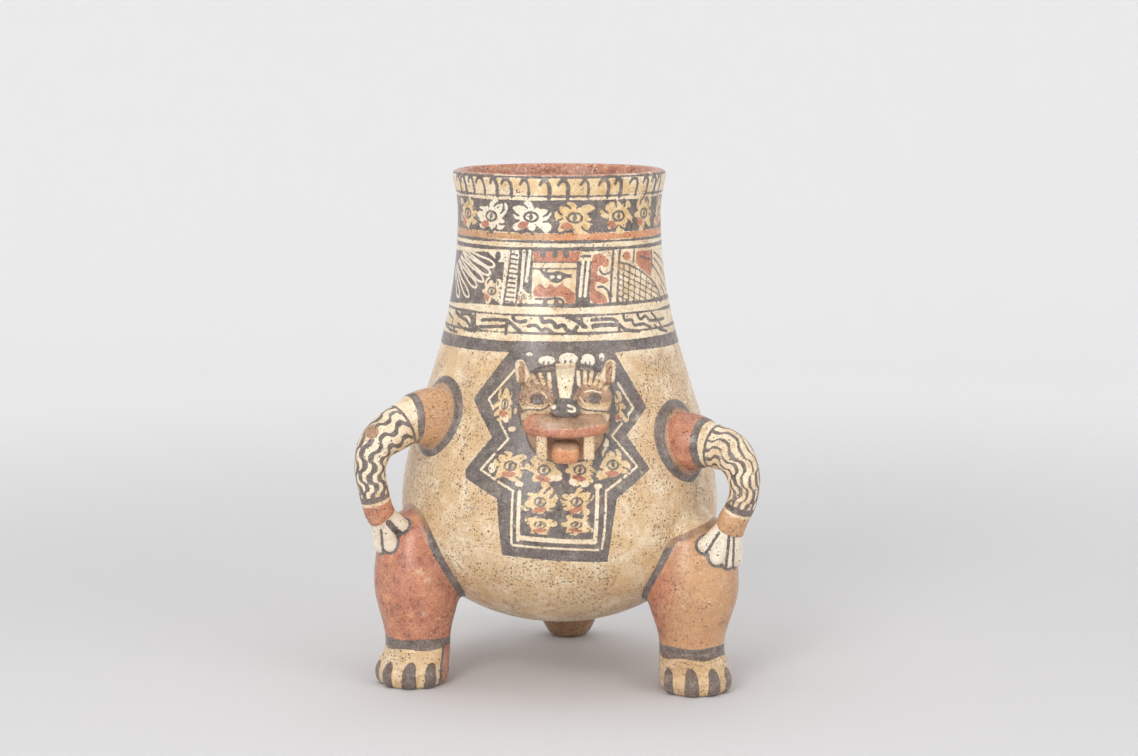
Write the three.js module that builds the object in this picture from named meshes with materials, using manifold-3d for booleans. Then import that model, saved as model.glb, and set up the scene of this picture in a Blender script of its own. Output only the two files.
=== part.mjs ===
// Tripod jar in the form of a seated feline. The vessel is built up from a bowl, a belly wall, a neck and a
// lip coil. The head, the arms and three hollow rattle supports are modelled apart and luted on with slip.
// Millimetres, +Z up. The origin is on the vessel's axis, in the plane that the supports stand on.
// The face looks along -Y. Left and right are as seen from the front, so left is -X.

import * as THREE from "three";
import { mergeVertices } from "three/addons/utils/BufferGeometryUtils.js";
import Module from "manifold-3d";

const wasm = await Module();
wasm.setup();

// Driving dimensions: joints and walls
const slip = 0.3; // line of slip that lutes one clay piece to the next
const wall = 7; // vessel wall
const supportWall = 6; // wall of the hollow supports
const scarf = 3; // how much higher a coil joint lies inside the wall than outside

// Driving dimensions: vessel outline
const bellyRadius = 103.7;
const bellyHeight = 111;
const bowlDepth = 78;
const bellyRise = 54; // upright stretch of the outline above the belly
const neckDrop = 90; // upright stretch of the outline below the neck's waist
const neckRadius = 66;
const neckHeight = 302;
const neckJointHeight = 208;
const lipRadius = 69;
const lipOverhang = 1; // how far the lip stands out over the neck
const lipHeight = 330;
const lipDepth = 11;

// Driving dimensions: supports. Azimuths run round the vessel from the face, positive to the right.
const hipRise = 1; // how far the thigh's top stands above the belly's widest level
const thighHeight = 66; // height of the thigh's widest level
const ankleHeight = 25;
const ankleRadius = 22;
const footHeight = 9; // height of the foot's widest level
const footHalfWidth = 24;
const footHalfLength = 28.5;
const soleInset = 3;
const toeGroove = 1.6;
const toeAngle = 37; // degrees from one toe to the next
const toesEachSide = 2; // beside the middle toe
const slitWidth = 5;
const slitHeight = 24;
const slitTurn = 45; // degrees from the back of a leg to its outer side
const pelletRadius = 6;
const tailRadius = 23;
const tailHeight = 36; // height of the tail support's widest level
const tailDrop = 27; // how far the tail support's top lies below the belly's widest level
const tailSoleRadius = 9;
const tailFloor = 9; // solid clay under the tail support's hollow

// Driving dimensions: arms
const bossRadius = 19; // at the vessel
const bossEndRadius = 15.5;
const bossRound = 3;
const collarRadius = 26;
const collarHeight = 4;
const armRadius = 14;
const wristRadius = 9.5;
const pawHalfWidth = 13.5;
const pawHalfDepth = 9;
const wristReach = 8; // how far the wrist stands off the thigh
const wristAngle = 40; // round the thigh from its front to its outer side
const pawAngle = 33;
const pawTipAngle = 25;

// Driving dimensions: head, in its own frame, whose origin is on the vessel's surface
const headHeight = 186;
const headShift = 4; // to the right of the vessel's middle
const craniumHalfWidth = 29;
const craniumDepth = 25; // how far the brow stands out of the vessel
const craniumRise = 28;
const cheekDrop = 21;
const muzzleHalfWidth = 26.5;
const muzzleReach = 37;
const muzzleHalfHeight = 9;
const muzzleDrop = 6.5; // from the head's origin to the middle of the muzzle
const mouthHalfWidth = 16;
const mouthFloor = 27; // below the head's origin
const eyeSpacing = 36;
const eyeRise = 8;
const eyeHalfWidth = 9.5;
const pupilRadius = 4;
const noseHalfWidth = 9;
const earHeight = 18;
const earHalfWidth = 4.8;
const earSpacing = 54;
const earRise = 22;
const fangSpacing = 29;
const fangLength = 15;
const fangRadius = 3.4;
const tongueWidth = 18;
const tongueThickness = 12;
const tongueReach = 33;
const jawHalfWidth = 21;
const jawDepth = 17; // how far the jaw stands out of the vessel
const jawDrop = 34; // below the head's origin

// Mesh fineness
const aroundVessel = 44;
const aroundLimb = 20;
const aroundArm = 16;
const aroundDetail = 12;
const outlineSteps = 6;
const armSteps = 12;
const pawSteps = 7;

// The two sides are modelled by hand and differ. The shoulder's rise is from the belly's widest ring,
// out and drop are from the middle of the shoulder, and the other rises are from the thigh's top. The cuff
// is the forearm above the wrist, placed by an angle and a reach about the thigh.
const left = {
  sign: -1,
  shoulderAzimuth: -59.5,
  shoulderRise: 63,
  bossLength: 25,
  bend: { out: 41.6, drop: 13.4 },
  elbow: { out: 48.2, drop: 28.8 },
  cuff: { angle: 40.5, reach: 11.8, rise: 17 },
  wristRise: 5,
  pawRise: -6,
  pawTipRise: -21.5,
  legAzimuth: -67,
  hipInset: 3.8,
  thighRadius: 28.2,
  footForward: 5.5,
  footSideways: 2.8,
};
const right = {
  sign: 1,
  shoulderAzimuth: 55,
  shoulderRise: 48,
  bossLength: 23,
  bend: { out: 36, drop: 4.9 },
  elbow: { out: 45.2, drop: 19.1 },
  cuff: { angle: 46.2, reach: 12, rise: 13 },
  wristRise: 0.5,
  pawRise: -13.5,
  pawTipRise: -28,
  legAzimuth: 58.7,
  hipInset: 3.6,
  thighRadius: 30,
  footForward: 14,
  footSideways: 1.5,
};
const tailAzimuth = 176.5;
const tailInset = 3.5;

// Slips as the photographed pot shows them
const cream = { color: 0xd9c19c, roughness: 0.62, metalness: 0 };
const black = { color: 0x5a5355, roughness: 0.6, metalness: 0 };
const red = { color: 0xb9674a, roughness: 0.6, metalness: 0 };
const clay = { color: 0x9a7452, roughness: 0.85, metalness: 0 };

const degrees = THREE.MathUtils.degToRad;
const upZ = new THREE.Vector3(0, 0, 1);

// Turns a closed three.js geometry into a solid for joining and cutting
function solidOf(geometry) {
  const bare = geometry.clone();
  bare.deleteAttribute("normal");
  bare.deleteAttribute("uv");
  const merged = mergeVertices(bare, 1e-3);
  const index = merged.index.array;
  const kept = [];
  for (let i = 0; i < index.length; i += 3) {
    const [a, b, c] = index.slice(i, i + 3);
    if (a !== b && b !== c && c !== a) kept.push(a, b, c);
  }
  const vertProperties = merged.attributes.position.array;
  const make = (triVerts) => new wasm.Manifold(new wasm.Mesh({ numProp: 3, vertProperties, triVerts }));
  const made = make(new Uint32Array(kept));
  return made.volume() > 0 ? made : make(new Uint32Array(kept.reverse()));
}

// Gives a solid back as a geometry
function geometryOf(solid) {
  const { vertProperties, triVerts } = solid.getMesh();
  const geometry = new THREE.BufferGeometry();
  geometry.setAttribute("position", new THREE.BufferAttribute(new Float32Array(vertProperties), 3));
  geometry.setIndex(new THREE.BufferAttribute(new Uint32Array(triVerts), 1));
  geometry.computeVertexNormals();
  return geometry;
}

function named(name, solid, finish) {
  const mesh = new THREE.Mesh(geometryOf(solid), new THREE.MeshStandardMaterial(finish));
  mesh.name = name;
  return mesh;
}

// Solid of revolution about Z from a profile of [radius, height] pairs that closes on the axis or on itself
function turned(profile, sides) {
  const points = profile.map(([radius, height]) => new THREE.Vector2(radius, height));
  return solidOf(new THREE.LatheGeometry(points, sides).rotateX(Math.PI / 2));
}

// Ball stretched to three radii. A power below one squares it.
function ellipsoid(center, radii, sides = aroundDetail, power = 1) {
  const ball = new THREE.SphereGeometry(1, sides, sides / 2).rotateX(Math.PI / 2);
  const position = ball.attributes.position;
  const squared = (value) => Math.sign(value) * Math.abs(value) ** power;
  for (let i = 0; i < position.count; i++) {
    position.setXYZ(i, ...[position.getX(i), position.getY(i), position.getZ(i)].map(squared));
  }
  return solidOf(ball.scale(...radii).translate(...center));
}

function block(center, size) {
  return solidOf(new THREE.BoxGeometry(...size).translate(...center));
}

// Solid through rings of equally many points, closed by a fan at each end
function lofted(rings) {
  const count = rings[0].length;
  const middle = (ring) => ring.reduce((sum, p) => sum.add(p), new THREE.Vector3()).divideScalar(count);
  const points = [...rings.flat(), middle(rings[0]), middle(rings.at(-1))];
  const index = [];
  for (let i = 0; i < count; i++) {
    const j = (i + 1) % count;
    for (let k = 0; k < rings.length - 1; k++) {
      const [a, b, c, d] = [k * count + i, k * count + j, (k + 1) * count + i, (k + 1) * count + j];
      index.push(a, b, c, b, d, c);
    }
    const last = (rings.length - 1) * count;
    index.push(points.length - 2, j, i, points.length - 1, last + i, last + j);
  }
  const geometry = new THREE.BufferGeometry().setFromPoints(points);
  geometry.setIndex(index);
  return solidOf(geometry);
}

// Steps from 0 to 1
const steps = (count) => Array.from({ length: count + 1 }, (_, i) => i / count);
const mix = THREE.MathUtils.lerp;

// Vessel

const flank = new THREE.CubicBezierCurve(
  new THREE.Vector2(bellyRadius, bellyHeight),
  new THREE.Vector2(bellyRadius, bellyHeight + bellyRise),
  new THREE.Vector2(neckRadius, neckHeight - neckDrop),
  new THREE.Vector2(neckRadius, neckHeight),
).getPoints(60);
const lipBase = lipHeight - lipDepth;
const flare = new THREE.QuadraticBezierCurve(
  new THREE.Vector2(neckRadius, neckHeight),
  new THREE.Vector2(neckRadius, mix(neckHeight, lipBase, 0.5)),
  new THREE.Vector2(lipRadius - lipOverhang, lipBase + scarf),
).getPoints(12);

// Outer radius of the vessel at a height
function vesselRadius(height) {
  if (height < bellyHeight) {
    const down = Math.min(1, (bellyHeight - height) / bowlDepth);
    return bellyRadius * Math.sqrt(1 - down * down);
  }
  const outline = height < neckHeight ? flank : flare;
  const above = Math.max(1, outline.findIndex((p) => p.y >= height));
  const [low, high] = [outline[above - 1], outline[above]];
  return mix(low.x, high.x, THREE.MathUtils.clamp((height - low.y) / (high.y - low.y), 0, 1));
}

const onVessel = (azimuth, height, outset = 0) => {
  const reach = vesselRadius(height) + outset;
  return new THREE.Vector3(reach * Math.sin(degrees(azimuth)), -reach * Math.cos(degrees(azimuth)), height);
};

// Quarter ellipse of the bowl, from its pole to the belly
const bowlArc = (inset) =>
  steps(outlineSteps + 2).map((t) => [
    (bellyRadius - inset) * Math.sin((t * Math.PI) / 2),
    bellyHeight - (bowlDepth - inset) * Math.cos((t * Math.PI) / 2),
  ]);

function wallRing(low, high) {
  const outer = steps(outlineSteps).map((t) => mix(low + slip, high, t));
  const inner = steps(outlineSteps).map((t) => mix(high + scarf, low + slip + scarf, t));
  const profile = [
    ...outer.map((z) => [vesselRadius(z), z]),
    ...inner.map((z) => [vesselRadius(z) - wall, z]),
  ];
  return turned([...profile, profile[0]], aroundVessel);
}

function baseBowl() {
  const inside = bowlArc(wall).reverse();
  return turned([...bowlArc(0), [vesselRadius(bellyHeight + scarf) - wall, bellyHeight + scarf], ...inside], aroundVessel);
}

function lipCoil() {
  const seat = lipBase + slip;
  const inside = lipRadius - lipOverhang - wall;
  const crest = mix(inside, lipRadius, 0.55);
  const section = new THREE.CurvePath();
  const shoulder = mix(seat, lipHeight, 0.5);
  const at = (x, y) => new THREE.Vector2(x, y);
  section.add(new THREE.QuadraticBezierCurve(at(lipRadius, shoulder), at(lipRadius, lipHeight), at(crest, lipHeight)));
  section.add(new THREE.QuadraticBezierCurve(at(crest, lipHeight), at(inside, lipHeight), at(inside, shoulder + scarf)));
  const round = section.getPoints(3).map((p) => [p.x, p.y]);
  const profile = [[vesselRadius(lipBase), seat], ...round, [vesselRadius(lipBase + scarf) - wall, seat + scarf]];
  return turned([...profile, profile[0]], aroundVessel);
}

// The vessel's outside as one solid, stood off by a gap: what is luted on is cut by it
function vesselCutter(gap) {
  const upper = steps(2 * outlineSteps).map((t) => mix(bellyHeight, neckHeight, t));
  const bowl = bowlArc(-gap);
  return turned([...bowl, ...upper.slice(1).map((z) => [vesselRadius(z) + gap, z]), [0, neckHeight]], aroundVessel);
}

function vessel() {
  const group = new THREE.Group();
  group.add(
    named("base_bowl", baseBowl(), cream),
    named("belly_wall", wallRing(bellyHeight, neckJointHeight), cream),
    named("neck_wall", wallRing(neckJointHeight, lipBase), cream),
    named("lip_coil", lipCoil(), red),
  );
  return group;
}

// Supports. Each is modelled about its own upright axis.

const thighTop = bellyHeight + hipRise - thighHeight; // from the thigh's widest level to its top
const tailTop = bellyHeight - tailDrop - tailHeight;

// Outline of a thigh from the ankle to its top, drawn in by an inset
function thighOutline(radius, inset) {
  const lower = steps(4).map((t) => [
    mix(ankleRadius, radius, (1 - Math.cos(t * Math.PI)) / 2) - inset,
    mix(ankleHeight, thighHeight, t),
  ]);
  const upper = steps(outlineSteps).slice(1).map((t) => [
    (radius - inset) * Math.cos((t * Math.PI) / 2) ** 0.65,
    thighHeight + (thighTop - inset) * Math.sin((t * Math.PI) / 2),
  ]);
  return [...lower, ...upper];
}

function thighSolid(radius, inset) {
  return turned([[0, ankleHeight], ...thighOutline(radius, inset)], aroundLimb);
}

// Upright slit through the back of a support's wall, where the firing gases leave
function ventSlit(radius, height) {
  return block([0, radius, height], [slitWidth, 2 * radius, slitHeight]);
}

// Foot with rounded toes in front, under the ankle, flat underneath
function foot({ sign, footForward, footSideways }) {
  const ring = (z, share, halfWidth, halfLength, toes) =>
    steps(40).slice(1).map((t) => {
      const angle = t * 2 * Math.PI;
      const fromFront = Math.abs(THREE.MathUtils.euclideanModulo(angle + Math.PI, 2 * Math.PI) - Math.PI);
      const inToes = fromFront < degrees(toeAngle * (toesEachSide + 0.5));
      const groove = inToes ? toes * (1 - Math.abs(Math.cos((fromFront * Math.PI) / degrees(toeAngle)))) : 0;
      const x = sign * footSideways * share + (halfWidth - groove) * Math.sin(angle);
      const y = -footForward * share - (halfLength - groove) * Math.cos(angle);
      return new THREE.Vector3(x, y, z);
    });
  const instep = mix(footHeight, ankleHeight, 0.55);
  return lofted([
    ring(0, 1, footHalfWidth - soleInset, footHalfLength - soleInset, toeGroove),
    ring(soleInset * 0.8, 1, footHalfWidth - soleInset * 0.3, footHalfLength - soleInset * 0.3, toeGroove),
    ring(footHeight, 1, footHalfWidth, footHalfLength, toeGroove),
    ring(instep, 0.6, mix(footHalfWidth, ankleRadius, 0.7), mix(footHalfLength, ankleRadius, 0.6), toeGroove * 0.4),
    ring(ankleHeight - slip, 0, ankleRadius, ankleRadius, 0),
  ]);
}

// A loose clay ball that rests on the floor of a support's hollow
function pellet(name, floor) {
  const mesh = named(name, ellipsoid([0, 0, 0], [pelletRadius, pelletRadius, pelletRadius], 12), clay);
  mesh.position.z = floor + slip + pelletRadius;
  return mesh;
}

const legAxis = ({ legAzimuth, hipInset }) => onVessel(legAzimuth, bellyHeight, -hipInset).setZ(0);

function leg(name, spec) {
  const group = new THREE.Group();
  const axis = legAxis(spec);
  group.position.copy(axis);
  const vesselHere = vesselCutter(slip).translate([-axis.x, -axis.y, 0]);
  const thigh = thighSolid(spec.thighRadius, 0)
    .subtract(thighSolid(spec.thighRadius, supportWall))
    .subtract(ventSlit(spec.thighRadius, mix(ankleHeight, thighHeight, 0.8)).rotate([0, 0, -spec.sign * slitTurn]))
    .subtract(vesselHere);
  group.add(
    named(`thigh_${name}`, thigh, red),
    named(`foot_${name}`, foot(spec), cream),
    pellet(`rattle_pellet_${name}`, ankleHeight - slip),
  );
  return group;
}

// Rear support, a blunt hollow cone that stands for the tail
function tailSolid(inset) {
  const floor = inset ? tailFloor : 0;
  const lower = steps(5).map((t) => [
    mix(tailSoleRadius, tailRadius, Math.sin((t * Math.PI) / 2)) - inset,
    mix(floor, tailHeight, 1 - Math.cos((t * Math.PI) / 2) ** 1.2),
  ]);
  const upper = steps(outlineSteps).slice(1).map((t) => [
    (tailRadius - inset) * Math.cos((t * Math.PI) / 2) ** 0.8,
    tailHeight + (tailTop - inset) * Math.sin((t * Math.PI) / 2),
  ]);
  return turned([[0, floor], ...lower, ...upper], aroundLimb);
}

function tail() {
  const group = new THREE.Group();
  const axis = onVessel(tailAzimuth, bellyHeight, -tailInset).setZ(0);
  group.position.copy(axis);
  const shell = tailSolid(0)
    .subtract(tailSolid(supportWall))
    .subtract(ventSlit(tailRadius, tailHeight))
    .subtract(vesselCutter(slip).translate([-axis.x, -axis.y, 0]));
  group.add(named("tail_support", shell, cream), pellet("rattle_pellet_tail", tailFloor));
  return group;
}

// Arms. A boss stands out of the belly, the forearm bends down from it and the paw lies on the thigh.

function bossSolid(gap, spec) {
  const end = spec.bossLength + gap;
  const round = steps(3).map((t) => [
    bossEndRadius + gap - bossRound * (1 - Math.cos((t * Math.PI) / 2)),
    end - bossRound * (1 - Math.sin((t * Math.PI) / 2)),
  ]);
  const boss = turned([[0, -wall], [bossRadius + gap, -wall], [bossRadius + gap, collarHeight], ...round, [0, end]], aroundLimb);
  return seated(boss, spec);
}

// A ring of clay smoothed round the foot of the boss
function collarSolid(spec) {
  const inner = bossRadius + slip;
  const profile = [[inner, -2 * wall], [collarRadius, -2 * wall], [collarRadius, -collarHeight / 2], [inner, collarHeight]];
  return seated(turned([...profile, profile[0]], aroundLimb), spec);
}

// Moves a solid modelled along Z to a shoulder, pointing straight out of the vessel
function seated(solid, spec) {
  const outward = onVessel(spec.shoulderAzimuth, bellyHeight).setZ(0).normalize();
  const turn = new THREE.Quaternion().setFromUnitVectors(upZ, outward);
  const matrix = new THREE.Matrix4().compose(shoulderPoint(spec), turn, new THREE.Vector3(1, 1, 1));
  return solid.transform(matrix.elements);
}

function shoulderPoint({ shoulderAzimuth, shoulderRise }) {
  return onVessel(shoulderAzimuth, bellyHeight + shoulderRise);
}

// Line along the middle of the arm, from inside the boss to the tip of the paw
function armLine(spec) {
  const outward = onVessel(spec.shoulderAzimuth, bellyHeight).setZ(0).normalize();
  const shoulder = shoulderPoint(spec);
  const fromShoulder = ({ out, drop }) => shoulder.clone().addScaledVector(outward, out).addScaledVector(upZ, -drop);
  const aroundThigh = (angle, standoff, rise) => {
    const reach = spec.thighRadius + standoff;
    const offset = new THREE.Vector3(spec.sign * reach * Math.sin(degrees(angle)), -reach * Math.cos(degrees(angle)), 0);
    return legAxis(spec).add(offset).setZ(thighHeight + thighTop + rise);
  };
  return new THREE.CatmullRomCurve3([
    fromShoulder({ out: spec.bossLength - 2 * bossRound, drop: 0 }),
    fromShoulder(spec.bend),
    fromShoulder(spec.elbow),
    aroundThigh(spec.cuff.angle, spec.cuff.reach, spec.cuff.rise),
    aroundThigh(wristAngle, wristReach, spec.wristRise),
    aroundThigh(pawAngle, -0.2 * pawHalfDepth, spec.pawRise),
    aroundThigh(pawTipAngle, 0.1 * pawHalfDepth, spec.pawTipRise),
  ]);
}

const wristAt = 4 / 6; // the wrist is the fourth of six stretches along the arm's line

// Stretch of the arm between two shares of its line, with half width and half depth given along it
function armStretch(spec, from, to, count, halfWidth, halfDepth) {
  const line = armLine(spec);
  const along = upZ.clone().cross(onVessel(spec.shoulderAzimuth, bellyHeight).setZ(0)).normalize();
  const rings = steps(count).map((t) => {
    const share = mix(from, to, t);
    const middle = line.getPoint(share);
    const depth = along.clone().cross(line.getTangent(share)).normalize();
    return steps(aroundArm).slice(1).map((s) =>
      middle
        .clone()
        .addScaledVector(along, halfWidth(t) * Math.cos(s * 2 * Math.PI))
        .addScaledVector(depth, halfDepth(t) * Math.sin(s * 2 * Math.PI)),
    );
  });
  return lofted(rings);
}

function arm(name, spec) {
  const group = new THREE.Group();
  const vesselHere = vesselCutter(slip);
  const boss = bossSolid(0, spec).subtract(vesselHere);
  const collar = collarSolid(spec).subtract(vesselHere);
  const taper = (t) => mix(armRadius, wristRadius, THREE.MathUtils.smoothstep(t, 0.1, 0.85));
  const forearm = armStretch(spec, 0, wristAt, armSteps, taper, taper).subtract(bossSolid(slip, spec));
  const rounding = (t) => Math.sqrt(1 - 0.75 * THREE.MathUtils.smoothstep(t, 0.55, 1));
  const swell = (half) => (t) => mix(wristRadius, half, THREE.MathUtils.smoothstep(t, 0, 0.6)) * rounding(t);
  const axis = legAxis(spec);
  const thighHere = thighSolid(spec.thighRadius + slip, 0).translate([axis.x, axis.y, 0]);
  const line = armLine(spec);
  const wristStep = 0.02; // share of the arm's line on each side of the wrist
  const stepLength = line.getPoint(wristAt).distanceTo(line.getPoint(wristAt + wristStep));
  const sleeve = () => wristRadius + 2 * slip;
  const wristHere = armStretch(spec, wristAt - wristStep, wristAt + (wristStep * slip) / stepLength, 2, sleeve, sleeve);
  const paw = armStretch(spec, wristAt, 1, pawSteps, swell(pawHalfWidth), swell(pawHalfDepth))
    .subtract(wristHere)
    .subtract(thighHere);
  group.add(
    named(`shoulder_collar_${name}`, collar, black),
    named(`shoulder_boss_${name}`, boss, red),
    named(`forearm_${name}`, forearm, cream),
    named(`paw_${name}`, paw, cream),
  );
  return group;
}

// Head, in its own frame

function head() {
  const group = new THREE.Group();
  const seat = new THREE.Vector3(headShift, -vesselRadius(headHeight), headHeight);
  group.position.copy(seat);
  const vesselHere = vesselCutter(slip).translate([-seat.x, -seat.y, -seat.z]);

  const craniumMiddle = (craniumRise - cheekDrop) / 2;
  const craniumHalfHeight = (craniumRise + cheekDrop) / 2;
  const cranium = (gap) =>
    ellipsoid(
      [0, 0, craniumMiddle],
      [craniumHalfWidth + gap, craniumDepth + gap, craniumHalfHeight + gap],
      aroundLimb,
      0.7,
    );
  const muzzleDepth = muzzleReach * 0.62;
  const muzzle = (gap) =>
    ellipsoid(
      [0, muzzleDepth - muzzleReach, -muzzleDrop],
      [muzzleHalfWidth + gap, muzzleDepth + gap, muzzleHalfHeight + gap],
      aroundLimb,
      0.85,
    );
  const mouth = (gap) =>
    block(
      [0, -craniumDepth, mix(-muzzleDrop, -mouthFloor, 0.5)],
      [2 * (mouthHalfWidth - gap), 1.2 * craniumDepth, mouthFloor - muzzleDrop - 2 * gap],
    );
  const jawSeat = vesselRadius(headHeight) - vesselRadius(headHeight - jawDrop / 2);
  const jaw = (gap) =>
    ellipsoid(
      [0, jawSeat, -jawDrop / 2],
      [jawHalfWidth + gap, jawDepth + gap, jawDrop / 2 + gap],
      aroundLimb,
      0.7,
    ).subtract(mouth(gap));
  const tongue = ellipsoid(
    [0, -tongueReach / 2, -mouthFloor],
    [tongueWidth / 2, tongueReach / 2, tongueThickness / 2],
    aroundArm,
    0.7,
  )
    .subtract(cranium(slip).subtract(mouth(slip)))
    .subtract(muzzle(slip))
    .subtract(jaw(slip));

  const eye = (sign) => {
    const middle = [(sign * eyeSpacing) / 2, -craniumDepth * 0.8, eyeRise];
    const reach = eyeHalfWidth * 0.7;
    const mound = ellipsoid(middle, [eyeHalfWidth, reach, eyeHalfWidth * 0.8]);
    const pupil = [middle[0], middle[1] - reach - pupilRadius * 0.6, middle[2]];
    return mound.subtract(cranium(slip)).subtract(ellipsoid(pupil, [pupilRadius, pupilRadius, pupilRadius * 0.8], 8));
  };
  const ear = (sign) => {
    const middle = [(sign * earSpacing) / 2, -craniumDepth * 0.5, earRise];
    const leaf = ellipsoid(middle, [earHalfWidth, earHalfWidth * 0.8, earHeight / 2]);
    const scoop = [middle[0], middle[1] - earHalfWidth * 0.8, middle[2] + earHeight * 0.12];
    return leaf.subtract(ellipsoid(scoop, [earHalfWidth / 2, earHalfWidth / 2, earHeight * 0.25], 8)).subtract(cranium(slip));
  };
  const fang = (sign) => {
    const tip = -muzzleDrop - muzzleHalfHeight - fangLength;
    const profile = [[0, tip], [fangRadius * 0.55, tip], [fangRadius, -muzzleDrop], [0, -muzzleDrop]];
    return turned(profile, aroundDetail)
      .translate([(sign * fangSpacing) / 2, -muzzleReach * 0.74, 0])
      .subtract(muzzle(slip))
      .subtract(cranium(slip))
      .subtract(jaw(slip));
  };
  const nose = ellipsoid(
    [0, -muzzleReach * 0.84, muzzleHalfHeight - muzzleDrop],
    [noseHalfWidth, noseHalfWidth * 0.8, noseHalfWidth * 0.6],
  );

  group.add(
    named("head_shell", cranium(0).subtract(mouth(0)).subtract(vesselHere), cream),
    named("muzzle", muzzle(0).subtract(cranium(slip)), red),
    named("nose_pad", nose.subtract(muzzle(slip)).subtract(cranium(slip)), black),
    named("lower_jaw", jaw(0).subtract(cranium(slip)).subtract(muzzle(slip)).subtract(vesselHere), clay),
    named("tongue", tongue.subtract(vesselHere), red),
  );
  for (const [name, sign] of [["left", -1], ["right", 1]]) {
    group.add(
      named(`eye_${name}`, eye(sign), clay),
      named(`ear_${name}`, ear(sign), cream),
      named(`fang_${name}`, fang(sign), cream),
    );
  }
  return group;
}

const pot = new THREE.Group();
pot.name = "tripod_pot";
pot.add(vessel(), head(), tail());
pot.add(leg("left", left), arm("left", left), leg("right", right), arm("right", right));

export default pot;
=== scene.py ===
import math
from itertools import product
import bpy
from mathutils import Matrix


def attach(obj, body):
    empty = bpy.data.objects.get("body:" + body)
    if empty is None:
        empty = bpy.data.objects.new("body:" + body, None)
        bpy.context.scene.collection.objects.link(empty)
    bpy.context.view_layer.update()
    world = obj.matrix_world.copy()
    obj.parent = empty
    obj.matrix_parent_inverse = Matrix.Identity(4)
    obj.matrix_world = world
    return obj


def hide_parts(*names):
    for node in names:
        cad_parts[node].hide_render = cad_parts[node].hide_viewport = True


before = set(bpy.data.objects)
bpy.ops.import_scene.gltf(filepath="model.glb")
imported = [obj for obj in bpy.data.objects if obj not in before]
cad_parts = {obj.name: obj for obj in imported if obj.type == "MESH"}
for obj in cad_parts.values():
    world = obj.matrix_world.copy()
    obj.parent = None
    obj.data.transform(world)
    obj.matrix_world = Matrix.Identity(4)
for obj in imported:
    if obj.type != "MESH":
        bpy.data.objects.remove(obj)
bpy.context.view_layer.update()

from types import SimpleNamespace

import bpy
import numpy as np
from mathutils import Vector

# Sizes are in millimetres in the part's frame, apart from the stage's. MM turns them into metres.
MM = 0.001

# Camera of the photograph, fitted to the pot. A pixel is one of a frame of 1138 by 756.
FRAME_WIDTH = 1138
FRAME_HEIGHT = 756
FOCAL_PIXELS = 3000
CAMERA_DISTANCE = 1968
CAMERA_PITCH = 0.1263
AIM_ACROSS = 6.23
AIM_HEIGHT = 192.75
SENSOR_WIDTH = 36
# Distances between which a line of sight may cross the pot, and the number of its steps
SIGHT = (CAMERA_DISTANCE - 200, CAMERA_DISTANCE + 60, 1041)
PIXEL = 0.625  # millimetres that one pixel covers on the front of the pot
MIDDLE_COLUMN = 559.5  # photo column of the vessel's axis

# Vessel
VESSEL_NODES = ("base_bowl", "belly_wall", "neck_wall", "lip_coil")
BELLY_RADIUS = 103.7
BELLY_HEIGHT = 111
BOWL_DEPTH = 78
BELLY_RISE = 54
NECK_DROP = 90
NECK_RADIUS = 66
NECK_HEIGHT = 302
LIP_RADIUS = 70
LIP_BASE = 319
LIP_HEIGHT = 330
LIP_CREST = LIP_RADIUS - 4.4
LIP_START = (LIP_RADIUS - 1.5, LIP_BASE + 3)
LIP_OUTSIDE = (LIP_START, (LIP_RADIUS + 1.2, LIP_HEIGHT - 0.5), (LIP_CREST, LIP_HEIGHT))
LIP_STEPS = 9
WALL = 7
WOBBLE = 0.5
BOWL_STEPS = 200

# Supports
THIGH_HEIGHT = 66
THIGH_TOP = 46
THIGH_SHARP = 1 / 0.325  # how square the thigh's upper end is
ANKLE_HEIGHT = 25
ANKLE_RADIUS = 21
ANKLE_BAND = 7
ANKLE_LAP = 2.5
FOOT_HEIGHT = 9
FOOT_HALF_WIDTH = 24
FOOT_HALF_LENGTH = 28.5
FOOT_TUCK = 5
FOOT_ROUND = 7.5
TOE_BULGE = 1.9
TOE_SPREAD = 12  # degrees
TOE_FRONT = (115, 85)  # degrees from the front between which the toes set in
TOE_PAINT = 14.5
TOE_PAINT_TAPER = 0.72
HEEL_BEHIND = 97  # degrees from the front
HEEL_LINE = 4
TAIL_AXIS = (6.12, 100.0)
TAIL_RADIUS = 23
TAIL_HEIGHT = 36
TAIL_TOP = 48
TAIL_SOLE_RADIUS = 9
TAIL_SOLE_ROUND = 1.2
TAIL_END_ROUND = 0.4
TAIL_FLOOR = 9
SUPPORT_WALL = 6
SUPPORT_FILLET = 7
SLIT_WIDTH = 5
SLIT_HEIGHT = 24
SLIT_RISE = 0.8  # share of the way from the ankle to the thigh's widest level
SLIT_TURN = 45  # degrees from the back of a leg to its outer side
SEAM_WIDTH = 2.2
SEAM_BARE = 112
SEAM_WHOLE = 92
SEAM_TOP = 118
SEAM_FADE = 14
JOINT_BROWN = 2
JOINT_BLACK = 5.5
CREST_LINE = 2.5
CREST_EDGE = 2
# Black round each paw on the thigh: partly slip, partly painted shadow beside the fingers
FINGER_EDGE_AND_SHADOW = 2.1

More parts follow.
